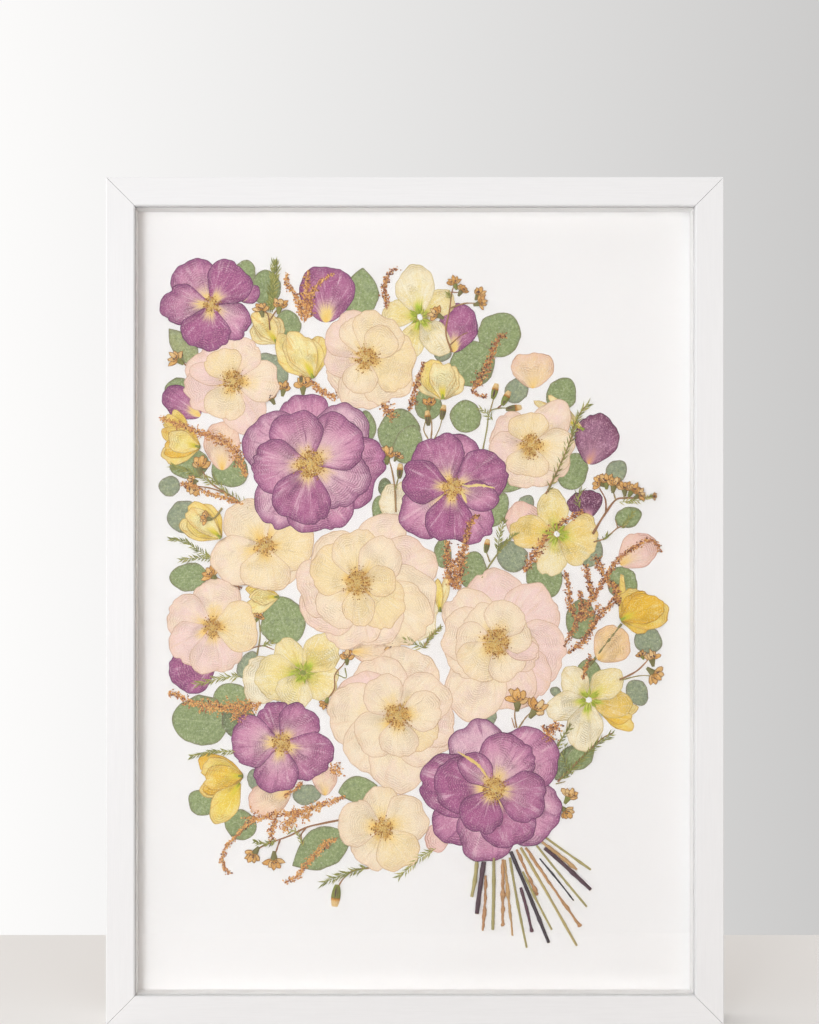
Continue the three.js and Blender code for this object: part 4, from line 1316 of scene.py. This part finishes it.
# %% [markdown]
# A needle sprig is a thin twig with narrow leaves on both sides. A needle is about a millimetre wide,
# so eight flat faces are enough for it, and chance gives each one its lean and length.
# %% Needles
# route, length of a needle, how many
NEEDLES = {
    "top_left": ([(270, 312), (273, 290), (275, 262)], 8, 26),
    "left_middle": ([(212, 559), (196, 549), (184, 541), (170, 539)], 7, 22),
    "left_middle_low": ([(212, 559), (196, 558), (180, 560)], 7, 14),
    "left_high": ([(214, 485), (196, 474), (172, 466)], 8, 20),
    "left_low": ([(240, 677), (222, 678), (196, 685)], 8, 22),
    "low_left": ([(238, 753), (216, 752), (190, 757)], 7, 24),
    "right_high": ([(566, 452), (574, 430), (580, 414), (589, 404)], 9, 22),
    "under_hellebore": ([(498, 552), (500, 536), (505, 520)], 8, 16),
    "under_hellebore_right": ([(498, 552), (508, 540), (516, 533)], 6, 10),
    "centre_left": ([(424, 648), (414, 644), (405, 640)], 9, 10),
    "centre": ([(424, 648), (432, 636), (441, 627)], 6, 14),
    "bottom_right": ([(436, 849), (420, 858), (410, 868), (398, 878)], 8, 22),
    "bottom": ([(368, 868), (350, 873), (336, 878), (323, 884)], 9, 24),
    "low_right": ([(560, 780), (578, 764), (596, 746), (613, 734)], 9, 24),
    "low_right_high": ([(557, 750), (563, 738), (570, 728)], 7, 8),
    "right_leaf": ([(622, 528), (630, 518), (634, 512)], 6, 9),
    "right_tip": ([(620, 502), (640, 500), (655, 496)], 6, 14),
    "right_plum": ([(580, 508), (578, 498), (582, 490)], 8, 8),
    "low_left_tip": ([(276, 842), (264, 844), (254, 842)], 6, 14),
    "left_long": ([(246, 506), (226, 492), (212, 478)], 9, 12),
    "low_left_side": ([(303, 846), (296, 832), (290, 832)], 6, 8),
    "above_middle": ([(493, 420), (486, 412), (480, 408)], 7, 7),
    "left_gap": ([(262, 646), (272, 642)], 6, 6),
    "right_low": ([(604, 540), (608, 534)], 6, 5),
    "low_right_leaf": ([(572, 775), (564, 760), (566, 745)], 7, 9),
    "upper": ([(450, 298), (448, 292)], 6, 6),
}
SHEAF_ASIDE = (-2, 0, 2)  # the sprig at the top left is a sheaf of stalks side by side


@waits
def add_needle_sprig(piece, route, needle, count, rng):
    line, rest = lay_twig(piece, route, 1.1, rng, 0.4, sides=5)
    count = int(count * 1.5)
    at = np.linspace(0.04, 0.99, count) * (len(line) - 1)
    spot, base = line[at.astype(int)], rest[at.astype(int)]
    along = np.gradient(line, axis=0)[at.astype(int)]
    heading = np.arctan2(along[:, 1], along[:, 0])
    side = np.where(np.arange(count) % 2, 1, -1)
    lean = heading + side * np.radians(rng.uniform(18, 52, count)) * (1 - 0.4 * (at / len(line)) ** 3)
    reach = STEP * needle * rng.uniform(0.7, 1.15, count)
    tips = spot + np.column_stack([np.cos(lean), np.sin(lean)]) * reach[:, None]
    starts = np.column_stack([spot, base + 0.4])
    ends = np.column_stack([tips, held_up(tips, 1) + 0.35])
    add_needles(piece, starts, ends, rng.uniform(0.8, 1.25, count), rng.uniform(0.3, 0.7), rng)


needles = Pressed("needle_sprigs")
for aside in SHEAF_ASIDE:
    beside = [(across + aside, down) for across, down in NEEDLES["top_left"][0]]
    add_needle_sprig(needles, beside, 8, 16, chances(f"sheaf {aside}"))
for name, (route, needle, count) in NEEDLES.items():
    add_needle_sprig(needles, route, needle, count, chances(name))
needles.build([needle_skin], "pressed_leaf")
print("needle sprigs:", len(NEEDLES))

# %% [markdown]
# A wax flower is a small orange cup seen from the side: a fan of five short petals with dark specks in
# its throat and a green cup below. A bud is a ribbed green cup with the folded petal tips at its mouth.
# %% Wax flowers
wax_petal = petal_finish(
    "dried_wax_flower_petal",
    [(0.0, "#94621E"), (0.25, "#DA9A3C"), (0.5, "#F4BA5C"), (1.0, "#FBCE7A")],
    "#E6A440", "#FDE2A6", "#D69440", "#94602A", "#FFECBC", ribs=0.5, edge=0.35, wrinkles=0.1, flecks=0.5)

# middle, width across, the way it faces
CUPS = [
    ((261, 307), 14, 100), ((280, 303), 15, 80), ((175, 357), 15, 140), ((303, 382), 17, 90),
    ((284, 386), 14, 80), ((270, 396), 13, 120), ((454, 281), 12, 110), ((463, 288), 12, 60),
    ((480, 292), 12, 60), ((482, 302), 12, 20), ((435, 313), 14, 150), ((429, 402), 13, 90),
    ((387, 452), 17, 90), ((398, 455), 10, 60), ((200, 463), 17, 90), ((192, 490), 14, 250),
    ((191, 480), 10, 170), ((204, 518), 12, 170), ((210, 573), 16, 130), ((347, 655), 14, 90),
    ((325, 706), 12, 250), ((391, 646), 14, 150), ((598, 481), 15, 150), ((607, 479), 14, 90),
    ((615, 482), 15, 80), ((625, 486), 14, 90), ((634, 488), 14, 60), ((641, 494), 11, 30),
    ((652, 656), 15, 100), ((657, 676), 17, -40), ((641, 654), 9, 120), ((571, 794), 16, 60),
    ((568, 813), 14, -40), ((252, 857), 16, 235), ((274, 864), 17, -90), ((259, 616), 10, 60),
    ((655, 496), 7, 0),
]
# middle, length, the way it faces
BUDS = [
    ((495, 391), 16, 75), ((506, 398), 16, 62), ((514, 408), 16, 8), ((443, 412), 15, 80),
    ((428, 418), 15, 95), ((400, 471), 15, 85), ((487, 546), 14, 80), ((336, 896), 22, -97),
    ((301, 378), 9, 95),
]
CUP = dict(notch=-0.25, shoulder=-0.1, waves=0.06, scallops=0.05, nicks=2, claw=0.6, ruffle=0.5, folds=5)
CUP_PETALS = (-70, 70, -36, 36, 0)
THROAT_SPECKS = 6
BUD_RIBS = 4


@waits
def add_cup(piece, at, ahead, wide, rng):
    """The brown-green cup below a wax flower."""
    line = smooth_route([tuple(at - ahead * wide * 0.62), tuple(at - ahead * wide * 0.3), tuple(at)], 0.7)
    radius = STEP * wide * np.linspace(0.09, 0.26, len(line))
    rest = settle(line, radius, 0.3)
    path = np.column_stack([line, rest + radius * 0.1])
    add_tube(piece, path, radius, 0.0, rng, sides=8, flat=0.35, finish=2)


@waits
def add_specks(piece, at, ahead, wide, rng):
    """The dark specks in the throat of a wax flower."""
    aside = np.array([ahead[1], -ahead[0]])
    along = rng.uniform(0.0, 0.16, (THROAT_SPECKS, 1))
    across = rng.uniform(-0.26, 0.26, (THROAT_SPECKS, 1))
    specks = at + ahead * wide * along + aside * wide * across
    spots = on_card(0, 0) + np.column_stack([specks[:, 0], -specks[:, 1]]) * STEP
    middles = np.column_stack([spots, held_up(spots, 1) + 0.1])
    add_beads(piece, middles, rng.uniform(0.35, 0.6, THROAT_SPECKS), 0.5, rng, finish=3)


@waits
def add_bud(piece, at, long, facing, rng):
    """A closed bud: a ribbed green cup, and the folded tips of the petals at its mouth."""
    ahead = np.array([math.cos(math.radians(facing)), -math.sin(math.radians(facing))])
    line = smooth_route([tuple(at - ahead * long * 0.5), tuple(at), tuple(at + ahead * long * 0.5)], 0.7)
    radius = STEP * long * 0.21 * np.sin(np.linspace(0.35, 2.6, len(line))) ** 0.7
    path = np.column_stack([line, settle(line, radius, 0.4) + radius * 0.2])
    mouth = int(len(line) * 0.58)
    add_tube(piece, path[:mouth + 1], radius[:mouth + 1], 0.12, rng, sides=8, flat=0.5, finish=2)
    add_tube(piece, path[mouth:], radius[mouth:], 0.8, rng, sides=8, flat=0.5, finish=1)
    aside = np.array([ahead[1], ahead[0], 0])
    ribs = rng.uniform(-0.14, 0.14, BUD_RIBS)[:, None] * STEP * long * aside
    lift = np.array([0, 0, radius.max() * 0.5])
    foot, top = path[1] + ribs * 0.5 + lift, path[mouth + 2] + ribs + lift
    add_needles(piece, foot, top, np.full(BUD_RIBS, 0.5), 0.6, rng, finish=3)


def add_wax_flower(piece, at, wide, facing, rng):
    ahead = np.array([math.cos(math.radians(facing)), -math.sin(math.radians(facing))])
    throat = np.array(at) - ahead * wide * 0.12
    add_cup(piece, throat, ahead, wide, rng)
    foot = throat - ahead * wide * 0.1
    for turn in CUP_PETALS:
        angle = facing + turn + rng.uniform(-9, 9)
        long, broad = wide * rng.uniform(0.5, 0.68), wide * rng.uniform(0.36, 0.48)
        add_petal(piece, foot, angle, long, broad, rng, CUP, rng.uniform(0.1, 0.9), finish=1)
    add_specks(piece, throat, ahead, wide, rng)


for at, wide, facing in CUPS:
    add_wax_flower(twigs, at, wide, facing, chances(f"cup {at[0]} {at[1]}"))
for at, long, facing in BUDS:
    add_bud(twigs, np.array(at), long, facing, chances(f"bud {at[0]} {at[1]}"))
twigs.build([twig_bark, wax_petal, green_grain, stem_dark], "dried_floret")
print("wax flowers:", len(CUPS), "buds:", len(BUDS))

# %% [markdown]
# An astilbe spray is a plume: a stalk, side stalks that lean forward, and on them hundreds of florets
# the size of a pinhead, pressed to flat rust-coloured grains. The florets are one bead that is
# repeated as real mesh, so that they survive as geometry.
# %% Astilbe sprays
# the piece, the route of its stalk, width at the foot and at the tip
SPRAYS = [
    ("small", [(304, 322), (305, 310), (306, 292), (308, 270)], 17, 3),
    ("small", [(302, 318), (296, 296), (287, 284), (286, 275), (290, 274)], 8, 3),
    ("small", [(307, 318), (311, 296), (320, 282), (333, 273)], 10, 3),
    ("small", [(387, 309), (385, 292), (386, 280), (390, 272), (397, 268)], 8, 4),
    ("small", [(472, 393), (478, 382), (487, 366), (494, 350), (500, 336), (506, 335)], 10, 5),
    ("small", [(474, 393), (482, 396), (488, 396)], 4, 3),
    ("small", [(409, 411), (414, 396), (418, 380), (424, 362)], 8, 4),
    ("small", [(311, 380), (320, 390), (336, 398)], 6, 8),
    ("spray_left", [
        (246, 478), (240, 462), (230, 445), (210, 436), (195, 430), (178, 424), (160, 417)], 13, 4),
    ("small", [(244, 505), (226, 498), (210, 494), (192, 485), (180, 484)], 7, 4),
    ("small", [(381, 402), (388, 410), (394, 418)], 12, 8),
    ("small", [(456, 590), (448, 572), (447, 556), (448, 541)], 8, 5),
    ("small", [(456, 588), (455, 572), (454, 560)], 9, 8),
    ("small", [(524, 573), (534, 556), (546, 538), (560, 524), (583, 511)], 11, 4),
    ("spray_right", [
        (564, 648), (578, 622), (592, 600), (606, 578), (618, 560), (636, 547), (650, 540), (659, 545),
        (660, 552)], 6, 5),
    ("spray_right", [(568, 654), (586, 638), (598, 618), (612, 604), (622, 600)], 8, 6),
    ("spray_right", [(578, 622), (570, 604), (569, 588), (566, 572)], 8, 5),
    ("spray_right", [(592, 600), (590, 582), (586, 566)], 7, 6),
    ("spray_right", [(606, 578), (600, 566), (596, 556)], 9, 6),
    ("spray_right", [(606, 578), (616, 590), (616, 600)], 9, 7),
    ("spray_right", [(578, 622), (582, 606), (580, 590)], 6, 5),
    ("spray_right", [(580, 620), (594, 612), (600, 604)], 6, 5),
    ("small", [(541, 726), (550, 730), (560, 724)], 12, 8),
    ("small", [(548, 728), (550, 740)], 12, 9),
    ("small", [(262, 703), (248, 708), (228, 708), (206, 706), (188, 702), (176, 694), (168, 694)], 19, 4),
    ("small", [(236, 710), (236, 720)], 11, 9),
    ("spray_low", [
        (346, 796), (326, 804), (300, 812), (272, 816), (252, 822), (238, 834), (226, 848), (222, 860),
        (225, 870), (231, 874)], 8, 4),
    ("spray_low", [(300, 812), (290, 822), (282, 830)], 12, 8),
    ("spray_low", [(276, 818), (272, 832), (272, 840)], 9, 6),
    ("spray_low", [(256, 820), (252, 816)], 16, 14),
    ("spray_low", [(300, 814), (310, 818)], 12, 9),
    ("small", [(338, 838), (324, 846), (314, 856), (303, 868), (296, 878), (284, 883)], 9, 4),
    ("small", [(330, 774), (340, 768)], 13, 11),
    ("small", [(303, 782), (294, 790), (283, 797)], 4, 3),
    ("small", [(583, 680), (586, 668), (591, 656)], 4, 5),
]
TOP_SPRAYS = [("over_roses", [(458, 590), (461, 568), (464, 548), (468, 532), (472, 520), (480, 514)], 13, 4)]
FLORET_GAP = 1.15  # mm between florets along a side stalk
PLUME = 1.6  # how far the loose florets stand out past the widths given above


@waits
def add_spray(piece, route, start_wide, end_wide, rng):
    """The florets of the sprays on the right dried browner."""
    line, rest = lay_twig(piece, route, 1.1, rng, 0.5, sides=5)
    along = np.gradient(line, axis=0)
    heading = np.arctan2(along[:, 1], along[:, 0])
    start, places = rng.uniform(0, 6), []
    for at in np.arange(1, len(line) - 1, 0.75):
        share = at / len(line)
        wide = (start_wide + (end_wide - start_wide) * share) * min(1, 0.3 + share * 5)
        wide *= 0.7 + 0.5 * math.sin(at * 0.55 + start) ** 2
        for side in (-1, 1):
            reach = PLUME * STEP / 2 * wide * rng.uniform(0.45, 1.1)
            lean = heading[int(at)] + side * math.radians(rng.uniform(25, 70))
            away = np.arange(0.4, max(reach, 0.9), FLORET_GAP)
            there = line[int(at)] + np.outer(away, (math.cos(lean), math.sin(lean)))
            places.append(there + rng.normal(0, 0.4, there.shape))
    places = np.vstack(places)
    sizes = rng.uniform(0.4, 0.85, len(places))
    row, col = cells(places)
    base = heights[row, col]
    tops = base + sizes * 0.5 + rng.uniform(0, 0.4, len(places))
    np.maximum.at(heights, (row, col), base + 0.2)
    tone = 0.75 - 0.3 * smooth_step(300, 500, route[0][0] - 0.25 * (route[0][1] - 600))
    tones = np.clip(tone + rng.normal(0, 0.28, len(places)), 0, 1)
    add_beads(piece, np.column_stack([places, tops]), sizes, tones, rng, 0.6, finish=1)


sprays = {}
for number, (name, route, start_wide, end_wide) in enumerate(SPRAYS):
    piece = sprays.setdefault(name, Pressed(f"{name}_florets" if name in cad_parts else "small_sprays"))
    add_spray(piece, route, start_wide, end_wide, chances(f"{name} {number}"))
for name, piece in sprays.items():
    piece.build([stalk_red, floret], "dried_floret", *([name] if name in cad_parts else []))
print("sprays:", len(SPRAYS))

# %% [markdown]
# ## Roses
# A pressed rose is a whorl: an outer ring of broad petals, smaller ones on top, and in the middle a
# brush of stamens. The anthers dried to dark gold grains, and the pale threads that carry them show
# between. Each petal is laid by itself from the outside in, so the overlaps come out as they would
# on the press.
# %% Rose petals
# middle, how pale or pink, then the petals as angle, length, width, lowest first
CREAM_ROSES = {
    "rose_cream_top": ((366, 358), 0.4, [
        (-130, 48, 46), (-98, 52, 46), (-50, 54, 50), (168, 44, 50), (128, 50, 48), (98, 49, 44),
        (-8, 49, 60), (62, 50, 52), (-105, 36, 34), (48, 38, 34)]),
    "rose_cream_left": ((233, 381), 0.5, [
        (150, 50, 46), (-70, 52, 44), (0, 47, 42), (200, 50, 46), (162, 46, 22, 1.0), (80, 46, 46),
        (-110, 42, 40), (118, 36, 36)]),
    "rose_cream_right": ((531, 445), 0.35, [
        (48, 56, 36), (150, 44, 42), (195, 44, 42), (-52, 46, 42), (-90, 46, 52), (-8, 44, 42), (-98, 32, 42),
        (98, 33, 40)]),
    "rose_cream_mid_left": ((265, 546), 0.4, [
        (-135, 48, 46), (60, 46, 46), (-45, 47, 46), (125, 51, 48), (205, 55, 50), (0, 48, 50),
        (-92, 46, 50)]),
    "rose_blush_left": ((212, 627), 0.7, [
        (80, 47, 48, 0.75), (160, 48, 46, 0.8), (-145, 50, 44, 1.0), (-80, 48, 50, 0.9), (2, 46, 50, 0.15)]),
    "rose_cream_centre": ((358, 583), 0.35, [
        (62, 76, 52), (18, 82, 60), (-14, 88, 60), (-38, 90, 64), (-64, 68, 56), (-100, 68, 60),
        (-140, 68, 56), (186, 64, 60), (128, 58, 54), (-128, 50, 48), (-38, 56, 50), (155, 50, 50),
        (95, 54, 46), (44, 54, 44), (4, 40, 30), (-88, 44, 32)]),
    "rose_cream_lower_right": ((496, 642), 0.5, [
        (85, 72, 60), (36, 76, 62), (-14, 72, 62), (-50, 76, 58), (-78, 74, 56), (-116, 84, 60),
        (200, 56, 52), (136, 66, 50), (166, 54, 54), (130, 42, 42), (182, 40, 42), (-130, 46, 44),
        (-18, 48, 36), (-58, 42, 40), (-12, 48, 24, 1.0), (16, 36, 34), (68, 44, 40)]),
    "rose_cream_low": ((398, 716), 0.45, [
        (74, 70, 62), (120, 64, 56), (150, 64, 52), (178, 72, 60), (-130, 72, 58), (-88, 76, 56),
        (-46, 62, 52), (-4, 60, 56), (34, 56, 52), (-140, 50, 46), (-42, 46, 42), (128, 44, 42),
        (8, 44, 40), (-88, 44, 38)]),
    "rose_cream_bottom": ((383, 829), 0.15, [
        (94, 44, 34), (26, 48, 48), (-115, 42, 44), (170, 46, 46), (-58, 46, 44)]),
}
PURPLE_ROSES = {
    "rose_purple_corner": ((211, 304), 0.1, [
        (122, 53, 46), (-40, 46, 38), (180, 53, 39), (-100, 48, 48), (50, 50, 46)]),
    "rose_purple_large": ((310, 464), 0.35, [
        (98, 75, 56), (42, 74, 56), (-128, 75, 56), (-12, 77, 72), (-78, 74, 68), (148, 72, 64),
        (-30, 64, 58), (38, 60, 58), (112, 56, 52), (185, 60, 54), (-105, 62, 56)]),
    "rose_purple_middle": ((452, 488), 0.15, [
        (75, 55, 44), (-135, 62, 52), (-62, 64, 46), (22, 60, 50), (118, 56, 54), (170, 54, 42),
        (-14, 50, 28), (-93, 56, 44)]),
    "rose_purple_low": ((494, 789), 0.15, [
        (112, 74, 60), (-140, 74, 52), (-35, 76, 64), (-97, 76, 60), (42, 76, 64), (178, 76, 60),
        (68, 56, 56), (-68, 62, 56), (177, 62, 54), (-14, 56, 50), (130, 48, 30), (-118, 48, 42)]),
    "rose_purple_small": ((281, 743), 0.1, [
        (104, 42, 36, 0.1), (50, 46, 40, 0.25), (-28, 54, 50, 0.2), (-98, 53, 42, 0.3), (180, 50, 50, 0.35)]),
}


@waits
def add_stamens(piece, at, rng, reach):
    """Threads and anthers round a rose's pale middle. reach is in mm."""
    middle = on_card(*at)
    threads, grains = int(reach * 10), int(reach ** 2 * 1.9)

    def ring(count, near, far):
        turn = rng.uniform(0, 2 * math.pi, count)
        away = reach * np.sqrt(rng.uniform(near ** 2, far ** 2, count))
        return middle + np.column_stack([np.cos(turn), np.sin(turn)]) * away[:, None]

    tips = ring(threads, 0.8, 1.25)
    base = held_up(middle[None], 2)[0]
    foot = middle + (tips - middle) * 0.1
    starts = np.column_stack([foot, np.full(threads, base + 0.3)])
    ends = np.column_stack([tips, held_up(tips, 1) + rng.uniform(0.15, 0.4, threads)])
    add_needles(piece, starts, ends, np.full(threads, 0.35), 0.15, rng, finish=1)
    add_beads(piece, ends[::3], rng.uniform(0.35, 0.6, len(ends[::3])), 0.75, rng, finish=1)
    spots = ring(grains, 0.25, 0.88)
    tops = held_up(spots, 1) + rng.uniform(0.15, 1.0, grains)
    sizes, tones = rng.uniform(0.4, 0.75, grains), rng.uniform(0.1, 0.85, grains)
    add_beads(piece, np.column_stack([spots, tops]), sizes, tones, rng, finish=1)
    spots = ring(int(reach * 4), 0.0, 0.28)
    tops = held_up(spots, 1) + 0.6
    add_beads(piece, np.column_stack([spots, tops]), rng.uniform(0.35, 0.6, len(spots)), 0.05, rng, finish=1)


# pale creases where a purple petal folded over itself
STREAKS = {
    "rose_purple_middle": [
        [(459, 483), (468, 486), (480, 485), (495, 488)],
        [(458, 488), (463, 494), (467, 503)],
    ],
    "rose_purple_low": [[(489, 780), (480, 767), (471, 760), (458, 752)]],
}


@waits
def add_streak(piece, route, rng):
    line = smooth_route(route, 1.0)
    share = np.linspace(0, 1, len(line))
    radius = (0.35 + 0.75 * np.sin(share * math.pi)) * rng.uniform(0.6, 1.3, len(line))
    add_tube(piece, np.column_stack([line, settle(line, radius, 0.1)]), radius, 0.0, rng, flat=0.25, finish=1)


def add_rose(name, at, pink, petals, skin, slot, reach):
    rose, rng = Pressed(f"{name}_pressed"), chances(name)
    for number, (angle, long, wide, *own) in enumerate(petals):
        tone = pink + 0.4 - 0.6 * number / len(petals) + rng.uniform(-0.3, 0.3)
        tone = float(np.clip(own[0] if own else tone, 0, 1))
        add_petal(rose, at, angle, long, wide, rng, ROSE, tone)
    add_stamens(rose, at, rng, reach)
    for route in STREAKS.get(name, ()):
        add_streak(rose, route, rng)
    rose.build([skin, stamen], slot, name)


# how far the stamens reach, mm
STAMENS = {
    "rose_cream_top": 9.2, "rose_cream_left": 9.0, "rose_cream_right": 8.8, "rose_cream_mid_left": 7.6,
    "rose_blush_left": 7.6, "rose_cream_centre": 10.4, "rose_cream_lower_right": 11.0, "rose_cream_low": 10.0,
    "rose_cream_bottom": 8.4, "rose_purple_corner": 6.6, "rose_purple_large": 11.4, "rose_purple_middle": 8.2,
    "rose_purple_low": 9.6, "rose_purple_small": 7.8,
}
# two wax flowers and the foot of a needle sprig lie on the roses
OVER_TWIGS = [
    ([(517, 728), (515, 716), (516, 706)], 2.0),
    ([(519, 728), (526, 718), (532, 712)], 2.0),
    ([(515, 728), (512, 718)], 1.6),
    ([(546, 494), (556, 474), (566, 452), (573, 434)], 2.4),
]
OVER_CUPS = [((518, 697), 20, 88), ((538, 707), 19, 55)]
OVER_NEEDLES = ([(548, 491), (557, 472), (567, 450), (574, 430)], 9, 14)
for name, (at, pink, petals) in CREAM_ROSES.items():
    add_rose(name, at, pink, petals, cream_petal, "cream_petal", STAMENS[name])
for name, (at, pink, petals) in PURPLE_ROSES.items():
    add_rose(name, at, pink, petals, purple_petal, "purple_petal", STAMENS[name])
top_spray = Pressed("spray_over_roses")
for name, route, start_wide, end_wide in TOP_SPRAYS:
    add_spray(top_spray, route, start_wide, end_wide, chances(name))
top_spray.build([stalk_red, floret], "dried_floret")

over_twigs = Pressed("wax_flowers_over_roses")
for route, width in OVER_TWIGS:
    add_twig(over_twigs, route, width, chances(f"over {route[-1]}"), 0.5)
for at, wide, facing in OVER_CUPS:
    add_wax_flower(over_twigs, at, wide, facing, chances(f"cup {at[0]} {at[1]}"))
over_twigs.build([twig_bark, wax_petal, green_grain, stem_dark], "dried_floret")
over_needles = Pressed("needle_sprig_over_rose")
add_needle_sprig(over_needles, *OVER_NEEDLES, chances("over rose"))
over_needles.build([needle_skin], "pressed_leaf")
print("roses:", len(CREAM_ROSES) + len(PURPLE_ROSES))

# %% [markdown]
# ## Close the press
# Everything has its place now, so the waiting steps run in the order in which they were noted. The
# stack has to stay clear of the pane.
# %% Press
for step in waiting:
    step()
glass_gap = (CARD_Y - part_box("glazing")[1].y) / MM
print(len(waiting), "steps, stack %.1f mm of %.1f" % (heights.max(), glass_gap))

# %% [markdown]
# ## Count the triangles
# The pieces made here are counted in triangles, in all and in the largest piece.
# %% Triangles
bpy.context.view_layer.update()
triangles = {
    o.name: sum(len(p.vertices) - 2 for p in o.data.polygons)
    for o in bpy.data.objects if o.type == "MESH" and o.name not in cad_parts
}
print("triangles made here:", sum(triangles.values()), "most in one piece:", max(triangles.values()))
